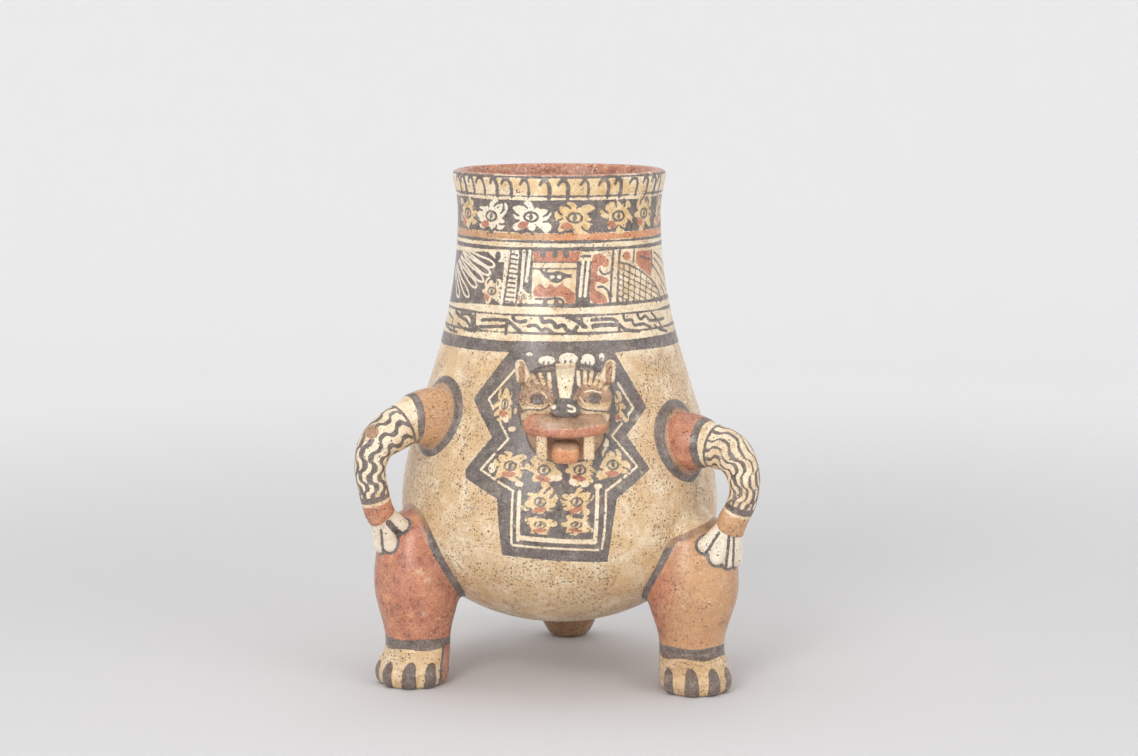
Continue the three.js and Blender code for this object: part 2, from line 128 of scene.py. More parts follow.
# Arms
BOSS_RADIUS = 19
BOSS_END_RADIUS = 13.6
BOSS_TAPER = 1.8
BOSS_ROUND = 7
BOSS_BLACK = 8
BOSS_CREAM = 3.5
COLLAR_RADIUS = 24.6
COLLAR_ROLL = 3.7
COLLAR_FLAT = 1.6
COLLAR_LAP = 2.5
COLLAR_BLACK = 3.6
ARM_RADIUS = 14
ARM_LAP = 8
ARM_END = 0.35  # share of the way from the wrist to the palm
ARM_TAPER = (0.1, 0.7)  # shares of the arm's length
ARM_STEP = 0.9
WRIST_RADIUS = 9.5
CUFF_RING = 3.8
CUFF_CREAM = 2
ARM_RING = 8.5
ARM_RING_LINE = 1.8
FINGER_ROOT_RADIUS = 6.2
FINGER_RADIUS = 4.8
FINGER_LIFT = 0.8
FINGER_START = 0.3  # share of the way from the wrist to the palm
FINGER_FAN = 0.2
FINGER_BLEND = 3
# Black on a paw's edge where it meets the thigh: partly slip, partly painted shadow
PAW_LINE_AND_SHADOW = 0.9
# Spot on the left elbow where the slip is worn off, as a photo pixel
WORN_SPOT = (372, 432)
WORN_RADIUS = 4.4

# The two sides differ, as hand modelled limbs do. Finger ends are photo pixels, and so are the gaps between
# fingers, each with its width.
LEFT = SimpleNamespace(
    name="left", sign=-1,
    leg=(-91.96, -39.03), thigh_radius=28.2, thigh_slip="red", seam_crest=130,
    foot_shift=(-2.8, -5.5), toes=(-80, -45, -4, 33), heel=58, ankle_band=23.5,
    shoulder_azimuth=-59.5, shoulder_height=174, boss_length=25, boss_slip="tan",
    bend=(41.6, 13.4), elbow=(48.2, 28.8), arm_lines=10, arm_wave=(12, 1.9, 3.6),
    cuff=(40.5, 11.8, 17), cuff_length=11, wrist=(40, 8, 5), palm=(38, -1, -9),
    fingers=((402, 525), (391, 544), (382, 545)),
    finger_gaps=((4.2, ((389, 523), (395, 530), (404, 537))), (1.7, ((381, 530), (383, 551)))),
)
RIGHT = SimpleNamespace(
    name="right", sign=1,
    leg=(85.53, -52.0), thigh_radius=30, thigh_slip="tan", seam_crest=103,
    foot_shift=(1.5, -14), toes=(-51, -8, 31, 66), heel=97, ankle_band=20.5,
    shoulder_azimuth=56, shoulder_height=159, boss_length=23, boss_slip="red",
    bend=(36, 4.9), elbow=(45.2, 19.1), arm_lines=13, arm_wave=(15, 2.0, 2.3),
    cuff=(46.2, 12, 13), cuff_length=13, wrist=(40, 8, 0.5), palm=(42, -1, -19),
    fingers=((705, 545), (716, 557), (727, 560), (734, 559)),
    finger_gaps=(
        (1.9, ((719, 533), (704, 556))), (1.9, ((729, 536), (726, 567))), (1.5, ((734, 538), (733, 566))),
    ),
)

# Head, about a point on the vessel's surface
HEAD_HEIGHT = 186
HEAD_SHIFT = 4
CRANIUM_RADII = (29, 25, 23.5)
CRANIUM_RISE = 1.4
CRANIUM_POWER = 0.68
BRIDGE = ((0, -21, 17), (0, -28, 2), 6, 6)
MUZZLE_MIDDLE = (-14, -8.6)
MUZZLE_BOW = 15
MUZZLE_BEND = 27
MUZZLE_REACH = 19
MUZZLE_RADIUS = 7.1
LIP_ROLL = 3.8
LIP_FORWARD = 4.6
LIP_DROP = 3.2
MOUTH_HALF_WIDTH = 12
MOUTH_TOP = -6.5
MOUTH_FLOOR = -27
MOUTH_BACK = -20.5
MOUTH_HALF_DEPTH = 12
MOUTH_ROUND = 2
MOUTH_EDGE = 1.5
EYE_PLACE = np.array([18, -20, 8])
EYE_RADII = (11, 5, 8.6)
EYE_DENT = (4.8, 2.6, 3.8)
EAR_ROOT = np.array([26.2, -12, 20])
EAR_TIP = np.array([28.2, -10.5, 27.5])
FANG_PLACE = np.array([14.6, -26.6, -18.25])
FANG_HALVES = (3.4, 2.8, 11.75)
TONGUE_RADII = (9, 16.5, 7.4)
TONGUE_MIDDLE = -25.6
TONGUE_POWER = 0.6
JAW_RADII = (24.6, 18, 24.5)
JAW_RISE = -10
JAW_POWER = 0.8
NOSE_PLACE = (0, -30, 2)
NOSE_RADII = (9.3, 6, 5)
NOSE_POWER = 0.8
NOSTRIL = (5.4, -35.6, 2.6)
NOSTRIL_RADII = (2.2, 1.8, 1.9)

# Fillets of slip, and mesh steps and margins of the pieces modelled as fields
LUTE_SINK = 0.4
LUTE_DEPTH = 3
LUTE_SPREAD = 1.2
THIGH_STEP = 1.15
TAIL_STEP = 1.3
COLLAR_STEP = 1.1
BOSS_STEP = 0.95
PAW_STEP = 0.7
COLLAR_FILLET = 3
BOSS_FILLET = 3
BOSS_DEPTH = 6
BOSS_SINK = 5
PAW_FILLET = 2.5
SUPPORT_MARGIN = 8
SHOULDER_BACK = 16
COLLAR_MARGIN = 31
BOSS_MARGIN = 24
PAW_MARGIN = 11

# Slips, as sRGB: where they lie thin, as most of them is, and where they lie thick
CREAM = ((222, 196, 158), (245, 227, 196), (251, 240, 217))
# From the slip that lies lowest to the one on top
SLIPS = {
    "clay": ((120, 88, 62), (150, 112, 80), (172, 132, 98)),
    "pale": ((232, 212, 182), (246, 234, 212), (251, 243, 227)),
    "gold": ((214, 172, 114), (231, 200, 150), (244, 220, 176)),
    "tan": ((180, 124, 92), (204, 156, 114), (226, 182, 130)),
    "orange": ((200, 126, 80), (217, 150, 106), (229, 174, 132)),
    "red": ((160, 100, 81), (194, 127, 99), (214, 151, 111)),
    "brown": ((146, 112, 86), (177, 141, 111), (200, 166, 134)),
    "ink": ((88, 79, 76), (111, 102, 98), (140, 128, 120)),
}
STREAKED = ("gold", "orange", "red", "ink")
STAINED = (222, 178, 116)
SOIL = (146, 104, 72)
SMOKE = (178, 132, 98)
PIT = (92, 70, 54)
FAR = 8  # distances to an edge are kept within this many millimetres


def unit(vector):
    return np.asarray(vector, float) / np.linalg.norm(vector)


def smooth_step(value, low, high):
    share = np.clip((value - low) / (high - low), 0, 1)
    return share * share * (3 - 2 * share)


def smooth_min(one, other, reach):
    share = np.maximum(reach - np.abs(one - other), 0) / reach
    return np.minimum(one, other) - share * share * reach / 4


def smooth_max(one, other, reach):
    return -smooth_min(-one, -other, reach)


def length_along(line):
    """Length from a line's start to each of its points."""
    return np.concatenate([[0], np.cumsum(np.linalg.norm(np.diff(line, axis=0), axis=1))])


# Photograph camera

view_direction = np.array([0, math.cos(CAMERA_PITCH), -math.sin(CAMERA_PITCH)])
view_up = np.array([0, math.sin(CAMERA_PITCH), math.cos(CAMERA_PITCH)])
camera_place = np.array([AIM_ACROSS, 0, AIM_HEIGHT]) - CAMERA_DISTANCE * view_direction


def pixels_of(points):
    from_camera = points - camera_place
    depth = from_camera @ view_direction
    across = FRAME_WIDTH / 2 + FOCAL_PIXELS * from_camera[:, 0] / depth
    down = FRAME_HEIGHT / 2 - FOCAL_PIXELS * (from_camera @ view_up) / depth
    return across, down


def touch(field, pixel):
    """First point of a surface that the camera sees at a pixel, or the one nearest to that line."""
    across = np.array([pixel[0] - FRAME_WIDTH / 2, 0, 0])
    down = view_up * (pixel[1] - FRAME_HEIGHT / 2)
    line = camera_place + np.linspace(*SIGHT)[:, None] * unit(view_direction * FOCAL_PIXELS + across - down)
    value = field(line)
    inside = np.nonzero(value < 0)[0]
    if len(inside) == 0 or inside[0] == 0:
        return line[np.argmin(value)]
    after = inside[0]
    share = value[after - 1] / (value[after - 1] - value[after])
    return line[after - 1] + share * (line[after] - line[after - 1])


# Vessel surface

def bezier(points, count):
    share = np.linspace(0, 1, count)[:, None]
    points = np.asarray(points, float)
    while len(points) > 1:
        points = [start + (end - start) * share for start, end in zip(points[:-1], points[1:])]
    return points[0]


def bowl_row(turn, inset=0):
    """Radius and height of the bowl at an angle from its bottom."""
    return (BELLY_RADIUS - inset) * np.sin(turn), BELLY_HEIGHT - (BOWL_DEPTH - inset) * np.cos(turn)


def vessel_outline():
    bowl = np.stack(bowl_row(np.linspace(0, np.pi / 2, BOWL_STEPS)), 1)
    belly_end = (BELLY_RADIUS, BELLY_HEIGHT + BELLY_RISE)
    neck_end = (NECK_RADIUS, NECK_HEIGHT - NECK_DROP)
    flank = bezier([(BELLY_RADIUS, BELLY_HEIGHT), belly_end, neck_end, (NECK_RADIUS, NECK_HEIGHT)], 400)
    middle = (NECK_HEIGHT + LIP_BASE) / 2
    flare = bezier([(NECK_RADIUS, NECK_HEIGHT), (NECK_RADIUS, middle), LIP_START], 60)
    return np.concatenate([bowl, flank[1:], flare[1:], bezier(LIP_OUTSIDE, 20)[1:]])


outline = vessel_outline()
outline_length = length_along(outline)
upper_outline = outline[BOWL_STEPS - 1:]
upper_slope = np.gradient(upper_outline[:, 0]) / np.gradient(upper_outline[:, 1])


def vessel_radius(height):
    return np.interp(height, outline[:, 1], outline[:, 0])


def vessel_length(height):
    return np.interp(height, outline[:, 1], outline_length)


def vessel_field(points):
    """Distance outside the vessel."""
    reach = np.hypot(points[:, 0], points[:, 1])
    height = points[:, 2]
    slope = np.interp(height, upper_outline[:, 1], upper_slope)
    upper = (reach - vessel_radius(np.maximum(height, BELLY_HEIGHT))) / np.sqrt(1 + slope * slope)
    below = (height - BELLY_HEIGHT) / BOWL_DEPTH
    level = np.hypot(reach / BELLY_RADIUS, below)
    pull = np.hypot(reach / BELLY_RADIUS**2, below / BOWL_DEPTH) + 1e-6
    return np.where(height > BELLY_HEIGHT, upper, level * (level - 1) / pull)


def vessel_spot(pixel):
    """Azimuth, length up the outline and radius of the vessel where a photo pixel falls."""
    x, y, z = touch(vessel_field, pixel)
    return math.atan2(x, -y), float(vessel_length(z)), float(vessel_radius(z))


# Paint. Each slip is kept as a signed distance to its edge, positive where it covers.

def smooth_curve(points, closed=False, steps=7):
    """Points along a curve through the given ones."""
    points = np.asarray(points, float)
    count = len(points)
    here = np.arange(count if closed else count - 1)
    near = [here + ahead for ahead in (-1, 0, 1, 2)]
    near = [index % count if closed else np.clip(index, 0, count - 1) for index in near]
    before, start, end, after = [points[index][:, None] for index in near]
    share = np.linspace(0, 1, steps, endpoint=False)[:, None]
    bend = 2 * before - 5 * start + 4 * end - after
    twist = 3 * start - before - 3 * end + after
    curve = 0.5 * (2 * start + (end - before) * share + bend * share**2 + twist * share**3)
    curve = curve.reshape(-1, points.shape[1])
    return curve if closed else np.concatenate([curve, points[-1:]])


class Paint:
    """Slips over the vertices of one piece, laid out flat by a place across and one up, in millimetres.
    Across is an angle where the piece goes around an axis at a given radius."""

    def __init__(self, across, up, around=None):
        self.across = across
        self.up = up
        self.around = around
        self.age = np.full(len(across), 0.5)  # how stained and pitted the slip is
        self.cover = {name: np.full(len(across), -float(FAR)) for name in SLIPS}

    def lay(self, slip, distance, where=slice(None)):
        """Covers the places where distance is positive with a slip, or bares the cream."""
        above = slip not in SLIPS
        for name, cover in self.cover.items():
            if name == slip:
                cover[where] = np.maximum(cover[where], distance)
                above = True
            elif above:
                cover[where] = np.minimum(cover[where], -distance)

    def coat(self, slip):
        self.lay(slip, FAR)

    def flat(self, points, margin):
        """The vertices near some points, and both in flat millimetres about the points' middle."""
        points = np.asarray(points, float)
        middle = points[:, :2].mean(0)
        place = points[:, :2] - middle
        across = self.across - middle[0]
        if self.around is not None:
            place[:, 0] *= points[:, 2]
            across = ((across + np.pi) % (2 * np.pi) - np.pi) * self.around
        up = self.up - middle[1]
        low = place.min(0) - margin
        high = place.max(0) + margin
        near = np.nonzero((across > low[0]) & (across < high[0]) & (up > low[1]) & (up < high[1]))[0]
        return near, np.stack([across[near], up[near]], 1), place

    def line(self, slip, points, width, smooth=True, tip=None):
        """Brush stroke along points, narrowing to its tip where one is given."""
        if smooth and len(points) > 2:
            points = smooth_curve(points)
        near, spots, place = self.flat(points, width + 3)
        self.lay(slip, stroke(spots, place, False, width / 2, (tip or width) / 2), near)

    def fill(self, slip, points, smooth=False):
        if smooth:
            points = smooth_curve(points, True)
        near, spots, place = self.flat(points, 5)
        distance = -stroke(spots, place, True)
        self.lay(slip, np.where(within(spots, place), distance, -distance), near)

    def oval(self, slip, center, half_width, half_height, turn=0):
        near, spots, _ = self.flat([center], max(half_width, half_height) + 4)
        cosine, sine = math.cos(turn), math.sin(turn)
        x = (spots[:, 0] * cosine + spots[:, 1] * sine) / half_width
        y = (spots[:, 1] * cosine - spots[:, 0] * sine) / half_height
        level = np.hypot(x, y)
        pull = np.hypot(x / half_width, y / half_height) + 1e-6
        self.lay(slip, -level * (level - 1) / pull, near)

    def brush(self, rows, place):
        """Rows of a slip, a tool and shapes in photo pixels. A width draws lines, two half sizes
        make ovals, and the words straight and round fill."""
        for slip, tool, *shapes in rows:
            for pixels in shapes:
                if isinstance(tool, str):
                    self.fill(slip, place(pixels), tool == "round")
                elif isinstance(tool, tuple):
                    self.oval(slip, place([pixels])[0], *tool)
                else:
                    self.line(slip, place(pixels), tool)


def stroke(spots, path, closed, start_half=0, end_half=0):
    """Depth of spots inside a stroke along a path, whose half width runs from its start to its end."""
    ends = np.roll(path, -1, 0) if closed else path[1:]
    starts = path if closed else path[:-1]
    best = np.full(len(spots), -1e9)
    for order, (start, end) in enumerate(zip(starts, ends)):
        run = end - start
        share = np.clip((spots - start) @ run / (run @ run + 1e-9), 0, 1)
        half = start_half + (end_half - start_half) * (order + share) / len(starts)
        best = np.maximum(best, half - np.linalg.norm(spots - start - share[:, None] * run, axis=1))
    return best


def within(spots, path):
    inside = np.zeros(len(spots), bool)
    for start, end in zip(path, np.roll(path, -1, 0)):
        crosses = (start[1] > spots[:, 1]) != (end[1] > spots[:, 1])
        rise = end[1] - start[1]
        meets = start[0] + (end[0] - start[0]) * (spots[:, 1] - start[1]) / (rise if rise else 1e-9)
        inside ^= crosses & (spots[:, 0] < meets)
    return inside


def front_paint(vertices):
    """Paint laid out as the photo's camera sees the piece."""
    across, down = pixels_of(vertices)
    return Paint(across * PIXEL, -down * PIXEL)


def at_pixels(pixels):
    return [(x * PIXEL, -y * PIXEL) for x, y in pixels]


# Meshes

def placed(data):
    made = bpy.data.objects.new(data.name, data)
    bpy.context.scene.collection.objects.link(made)
    return made


def smooth_mesh(name, vertices, faces):
    mesh = bpy.data.meshes.new(name)
    mesh.from_pydata(np.asarray(vertices).tolist(), [], [list(map(int, face)) for face in faces])
    mesh.polygons.foreach_set("use_smooth", [True] * len(mesh.polygons))
    return mesh


def piece(name, vertices, faces, paint, nodes=None):
    """Painted piece in place of the solid of its name, or of the given ones."""
    mesh = smooth_mesh(f"painted_{name}", vertices * MM, faces)
    covers = {channel: np.clip(cover, -FAR, FAR) for channel, cover in paint.cover.items()}
    for channel, values in {**covers, "age": paint.age}.items():
        layer = mesh.attributes.new(channel, "FLOAT", "POINT")
        layer.data.foreach_set("value", values.astype(np.float32))
    mesh.validate()
    mesh.materials.append(painted_slip)
    made = placed(mesh)
    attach(made, "pot")
    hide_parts(*(nodes or (name,)))


def surface_of(field, low, high, step):
    """Closed mesh of quads on the zero level of a field."""
    axes = [np.arange(start - step, end + 2 * step, step) for start, end in zip(low, high)]
    grid = np.stack(np.meshgrid(*axes, indexing="ij"), -1)
    value = field(grid.reshape(-1, 3)).reshape(grid.shape[:3])
    inside = value < 0
    cells = tuple(count - 1 for count in value.shape)

    def corner(array, offset):
        return array[tuple(slice(first, first + size) for first, size in zip(offset, cells))]

    corners = list(product((0, 1), repeat=3))
    count = sum(corner(inside, offset).astype(int) for offset in corners)
    active = (count > 0) & (count < len(corners))
    index = np.full(cells, -1)
    index[active] = np.arange(active.sum())
    total = np.zeros((*cells, 3))
    weight = np.zeros(cells)
    faces = []
    for axis in range(3):
        ahead = np.eye(3, dtype=int)[axis]
        for offset in corners:
            if offset[axis]:
                continue
            start, end = corner(value, offset), corner(value, ahead + offset)
            crossed = (start < 0) != (end < 0)
            share = np.where(crossed, start / np.where(crossed, start - end, 1), 0)
            total += np.where(crossed[..., None], corner(grid, offset) + ahead * step * share[..., None], 0)
            weight += crossed
        aside, across = np.delete(np.eye(3, dtype=int), axis, 0)
        here = tuple(slice(1 - step_on, -1) for step_on in ahead)
        there = tuple(slice(1, None if step_on else -1) for step_on in ahead)
        crossed = np.argwhere(inside[here] != inside[there]) + 1 - ahead
        around = (crossed - aside - across, crossed - across, crossed, crossed - aside)
        quads = np.stack([index[tuple(cell.T)] for cell in around], 1)
        turned = inside[tuple(crossed.T)] == (axis == 1)
        quads[turned] = quads[turned][:, ::-1]
        faces.append(quads)
    vertices = total[active] / weight[active][:, None]
    for _ in range(2):
        vertices = settle(field, vertices, step)
    return vertices, np.concatenate(faces)


def settle(field, vertices, step):
    """Moves vertices onto the zero level."""
    small = 0.1 * step
    rises = [field(vertices + small * axis) - field(vertices - small * axis) for axis in np.eye(3)]
    slope = np.stack(rises, 1) / (2 * small)
    move = slope * (field(vertices) / np.maximum((slope**2).sum(1), 0.05))[:, None]
    return vertices - np.clip(move, -0.6 * step, 0.6 * step)


def tube(rings, first, last):
    """Closed mesh of rings of points, between a point at each end."""
    around = len(rings[0])
    here = np.arange(around)
    beside = (here + 1) % around
    faces = [(0, 1 + right, 1 + left) for left, right in zip(here, beside)]
    for low in 1 + around * np.arange(len(rings) - 1):
        high = low + around
        faces.extend(zip(low + here, low + beside, high + beside, high + here))
    top = 1 + (len(rings) - 1) * around
    faces.extend((top + around, top + left, top + right) for left, right in zip(here, beside))
    return np.concatenate([[first], *rings, [last]]), faces


def revolved(rows, turns):
    """Closed surface of revolution: rows of radius and height, first and last on the axis."""
    ring = np.stack([np.sin(turns), -np.cos(turns)], 1)
    rings = [np.column_stack([radius * ring, np.full(len(turns), height)]) for radius, height in rows[1:-1]]
    return tube(rings, (0, 0, rows[0][1]), (0, 0, rows[-1][1]))


# Shapes, as fields: the distance of points outside them

def ball(points, center, radii, power=1.0):
    """Ellipsoid, squarer as its power falls below one."""
    sharp = 2 / power
    offset = points - np.array(center)
    level = (np.abs(offset / radii) ** sharp).sum(1) ** (1 / sharp) + 1e-6
    return np.linalg.norm(offset, axis=1) * (1 - 1 / level)


def rod(points, start, end, start_radius, end_radius):
    run = np.subtract(end, start)
    share = np.clip((points - start) @ run / (run @ run), 0, 1)
    middle = start + share[:, None] * run
    return np.linalg.norm(points - middle, axis=1) - (start_radius + (end_radius - start_radius) * share)


def slab(points, center, halves, rounding):
    far = np.abs(points - center) - halves + rounding
    return np.linalg.norm(np.maximum(far, 0), axis=1) + np.minimum(far.max(1), 0) - rounding


def for_each(shape):
    """A field for each side or sign, from a shape of points and that."""
    return lambda which: lambda points: shape(points, which)


def luted(piece_field, ground_field, reach, depth=LUTE_DEPTH):
    """A piece pressed on a ground, with a smoothed fillet that runs out under the ground's surface."""

    def field(points):
        own = piece_field(points)
        ground = ground_field(points)
        joined = smooth_min(own, ground + LUTE_SINK, reach)
        return np.maximum(np.maximum(joined, -(ground + depth)), own - LUTE_SPREAD * reach)

    return field


# Vessel

def vessel_wobble(turn, height):
    """Unevenness of a wall raised by hand."""
    slow = np.sin(2 * turn + 0.6) * np.cos(height / 70) + 0.6 * np.sin(3 * turn - height / 55)
    return WOBBLE * (slow + 0.35 * np.sin(7 * turn + height / 21)) / 2


# Mesh of the vessel: degrees up the bowl and round the pot, finer where the paint is, and heights
BOWL_ROWS = np.concatenate([np.arange(0, 46, 2.3), np.arange(46, 90, 0.75)])
INNER_BOWL_ROWS = np.arange(90, -1, -5)
WALL_ROWS = np.concatenate([np.arange(BELLY_HEIGHT, 218, 1.05), np.arange(218, LIP_BASE + 3, 0.7)])
INNER_WALL_ROWS = np.arange(LIP_BASE, BELLY_HEIGHT, -4)
COLUMNS = np.concatenate([np.arange(-105, 105, 0.64), np.arange(105, 255, 1.25)])


def vessel():
    inner = LIP_RADIUS - 1 - WALL
    roll = [(LIP_CREST, LIP_HEIGHT), (inner, LIP_HEIGHT - 0.3), (inner, LIP_BASE + 2)]
    outside = [
        *np.stack(bowl_row(np.radians(BOWL_ROWS)), 1),
        *np.stack([vessel_radius(WALL_ROWS), WALL_ROWS], 1),
        *bezier(LIP_OUTSIDE, LIP_STEPS)[1:],
    ]
    inside = [
        *bezier(roll, LIP_STEPS)[1:],
        *np.stack([vessel_radius(INNER_WALL_ROWS) - WALL, INNER_WALL_ROWS], 1),
        *np.stack(bowl_row(np.radians(INNER_BOWL_ROWS), WALL), 1),
    ]
    vertices, faces = revolved(outside + inside, np.radians(COLUMNS))
    turn = np.arctan2(vertices[:, 0], -vertices[:, 1])
    height = vertices[:, 2]
    reach = np.hypot(vertices[:, 0], vertices[:, 1])
    swell = 1 + vessel_wobble(turn, height) / np.maximum(reach, 30) * smooth_step(reach, 0, 40)
    vertices[:, :2] *= swell[:, None]
    paint = vessel_paint(turn, height, 1 + (len(outside) - 1) * len(COLUMNS))
    piece("vessel", vertices, faces, paint, VESSEL_NODES)


# Painted bands from the lip down: the photo rows of their edges on the vessel's front, and their slip
BANDS = (
    (176, 179, "ink"), (179, 195.5, "gold"), (195.5, 197.5, "ink"), (200.5, 233.5, "ink"),
    (233.5, 240.5, "tan"), (240.5, 243.5, "ink"), (247.5, 251.5, "ink"), (303.5, 307.5, "ink"),
    (314.5, 317, "ink"), (332.5, 335, "ink"), (341.5, 354, "ink"),
)
LIP_EDGE_ROW = 176
# Inside, the height that the red slip ends at, and how far inside its edge it counts as, which leaves it thin
# over pale slip: partly wear, partly painted light on the inner rim
RED_FLOOR = 215
RED_WORN_AND_LIT = 0.22
# Heights between which the slip gets older
AGE_ABOVE = 236
AGE_BELOW = 205


def row_length(row):
    """Length up the outline of a photo row, on the middle of the vessel's front."""
    return vessel_spot((MIDDLE_COLUMN, row))[1]


def vessel_paint(turn, height, outer_count):
    up = vessel_length(height)
    paint = Paint(turn, up, np.maximum(vessel_radius(height), 20))
    sway = 0.6 * (0.35 * np.sin(5 * turn + 1) + 0.25 * np.sin(11 * turn + up / 9))
    paint.age = 0.65 * smooth_step(height, AGE_ABOVE, AGE_BELOW) + 0.4
    for top, bottom, slip in BANDS:
        depth = np.minimum(row_length(top) - up, up - row_length(bottom)) + sway
        if slip == "gold":
            depth = np.minimum(depth, 0.25 + 0.5 * np.sin(3 * turn + up / 7))
        paint.lay(slip, depth)
        if slip == "tan":
            paint.lay("orange", np.minimum(depth, 1.6 * np.sin(turn) + 0.1))
    paint.lay("red", up - row_length(LIP_EDGE_ROW) + sway)
    crest = float(vessel_length(LIP_HEIGHT - 0.2))
    chipped = 0.7 * np.sin(7 * turn + 0.4) + 0.6 * np.sin(19 * turn) + 0.5 * np.sin(31 * turn + 2)
    paint.lay("cream", 0.5 * (chipped - 0.9 - 0.5 * np.abs(up - crest)))
    for half in (0, math.pi):
        for band in (hooks, face_band, main_frieze, serpent_band):
            band(paint, half)
    apron(paint)
    seams(paint, turn, height)
    inside = np.arange(len(turn)) >= outer_count
    slipped = inside & (height > RED_FLOOR)
    for cover in paint.cover.values():
        cover[inside] = -FAR
    paint.cover["clay"][inside] = FAR
    # Inside the rim, pale slip under a thin red: partly wear, partly painted light.
    paint.cover["pale"][slipped] = FAR
    paint.cover["red"][slipped] = RED_WORN_AND_LIT
    return paint


def spots(pixels, half=0):
    """Photo pixels as places on the vessel, turned to its other half where asked."""
    return [(turn + half, up, radius) for turn, up, radius in map(vessel_spot, pixels)]


# Curled hooks under the lip: photo columns of their stems and rows of their ends.
# The path of a hook is in shares of its width and height.
HOOK_COLUMNS = (459, 464, 472, 482, 495, 509, 527, 548, 567, 588, 608, 621, 637, 648, 656, 661)
HOOK_MIDDLE = 560
HOOK_TOP = 181
HOOK_FOOT = 196
HOOK_SAG = 5.5
HOOK_WIDTH = 4.2
HOOK_LINE = 2
HOOK_TIP = 2.6
HOOK_PATH = ((-1.25, 0.34), (-1, 0.1), (-0.45, 0), (0, 0.14), (0.2, 0.5))


def hooks(paint, half):
    for order, column in enumerate(HOOK_COLUMNS):
        sag = HOOK_SAG * ((column - HOOK_MIDDLE) / 100) ** 2
        turn, top, radius = spots([(column, HOOK_TOP - sag)], half)[0]
        foot = vessel_spot((column, HOOK_FOOT - sag))[1]
        wide = (HOOK_WIDTH + 0.8 * math.sin(2.7 * order)) / radius
        path = [(turn + x * wide, top - y * (top - foot), radius) for x, y in HOOK_PATH]
        path.append((turn + 0.1 * wide, foot - 1, radius))
        paint.line("ink", path, HOOK_LINE, tip=HOOK_TIP + 0.6 * math.sin(1.9 * order))


# Animal faces on the black band: photo pixels and half widths
FACE_BAND = (
    ((468, 213), 11.5), ((491, 216), 12.2), ((531, 217), 12.6), ((575, 218), 12.6), ((618.5, 216), 12),
    ((644, 213), 10.4), ((659, 211), 10),
)
FACE_HALF_HEIGHT = 9.4
PALE_FACES = (1, 2)


def face_band(paint, half):
    for order, (pixel, half_width) in enumerate(FACE_BAND):
        slip = "pale" if order in PALE_FACES else "gold"
        rosette(paint, pixel, half, (half_width, FACE_HALF_HEIGHT), order, slip)


LOCKS = 8
BODY_SHARE = 0.72
# Angle of a red cheek from the eye, and its half sizes as shares of the face's
BAND_CHEEK = (4.05, 0.3, 0.25)
APRON_CHEEK = (4.6, 0.46, 0.22)
# Rings of an eye from the outside in, as shares of the face
EYE_RING = (0.42, 0.4)
EYE_WHITE = (0.28, 0.23)
EYE_PUPIL = (0.12, 0.2)


def rosette(paint, pixel, half, halves, order, slip, cheek=BAND_CHEEK):
    """Animal's head as a splash of curling locks, with a ringed eye and a red cheek."""
    turn, up, radius = spots([pixel], half)[0]
    half_width, half_height = halves

    def at(reach, angle):
        x, y = math.cos(angle), math.sin(angle)
        edge = reach / (x**4 + y**4) ** 0.25
        return turn + edge * x * half_width / radius, up + edge * y * half_height, radius

    def oval(color, center, shares, tilt=0):
        paint.oval(color, center, shares[0] * half_width, shares[1] * half_height, tilt)

    oval(slip, at(0, 0), (BODY_SHARE, BODY_SHARE))
    step = 2 * math.pi / LOCKS
    for lock in range(LOCKS):
        angle = step * (lock + 0.25 * math.sin(2.3 * lock + 1.7 * order))
        curl = 0.46 * math.sin(1.9 * lock + order + 0.5)
        broad = half_height * (0.48 + 0.14 * math.sin(2.6 * lock + 1.3 * order))
        reach = 0.92 + 0.1 * math.sin(3.1 * lock + 2 * order)
        path = [at(0.45, angle), at(0.7, angle + 0.4 * curl), at(reach - 0.1, angle + curl)]
        paint.line(slip, path, 0.9 * broad, tip=1.1 * broad)
    for bay in range(LOCKS):
        angle = step * (bay + 0.5 + 0.2 * math.sin(1.3 * bay + 2.1 * order))
        curl = 0.4 * math.sin(2.7 * bay + order)
        path = [at(1.1, angle + curl), at(0.85, angle), at(0.64, angle - 0.5 * curl)]
        paint.line("ink", path, 0.2 * half_height, tip=0.14 * half_height)
    oval("red", at(0.6, cheek[0]), cheek[1:], 0.3 * math.sin(order))
    for color, shares in (("ink", EYE_RING), (slip, EYE_WHITE), ("ink", EYE_PUPIL)):
        oval(color, at(0, 0), shares)


# Main frieze from left to right, as rows for the brush. Feathers run from their roots to their tips.
FAN_GROUND = (("ink", "straight", ((447, 249), (508, 252), (503, 304), (446, 301))),)
FEATHERS = (
    ((466, 249), (495, 266)), ((463, 252), (491, 274)), ((461, 256), (484, 281)),
    ((459, 260), (477, 287)), ((457, 264), (469, 297)), ((456, 268), (459, 297)),
)
FEATHER_WIDTH = 1.35
FEATHER_PATH = ((0, 0.6), (0.5, 1.6), (0.85, 2.2), (1, 0), (0.85, -2.2), (0.5, -1.6), (0, -0.6))
FRIEZE_GROUND = (
    ("pale", "straight", ((487, 251), (508, 252), (505, 262), (499, 262))),
    ("ink", (2.2, 3), (498, 256)),
    ("ink", "straight", ((520, 251), (533, 251), (531, 304), (516, 304))),
)
# Photo pixels, half sizes and orders of the two faces
FRIEZE_FACES = (((492, 291), (9, 7.2), 5), ((524, 297), (4.8, 4.4), 2))
FRIEZE_RULES = (
    ("pale", 2.1, ((507, 251), (501.5, 303)), ((524, 251), (520.5, 294)), ((530, 251), (526.5, 281))),
)
COMB_GROUND = ((511, 251), (520, 251), (516, 303), (504, 303))
COMB_TEETH = 11
COMB_TOOTH = 1.25
COMB_EDGE = 1.2
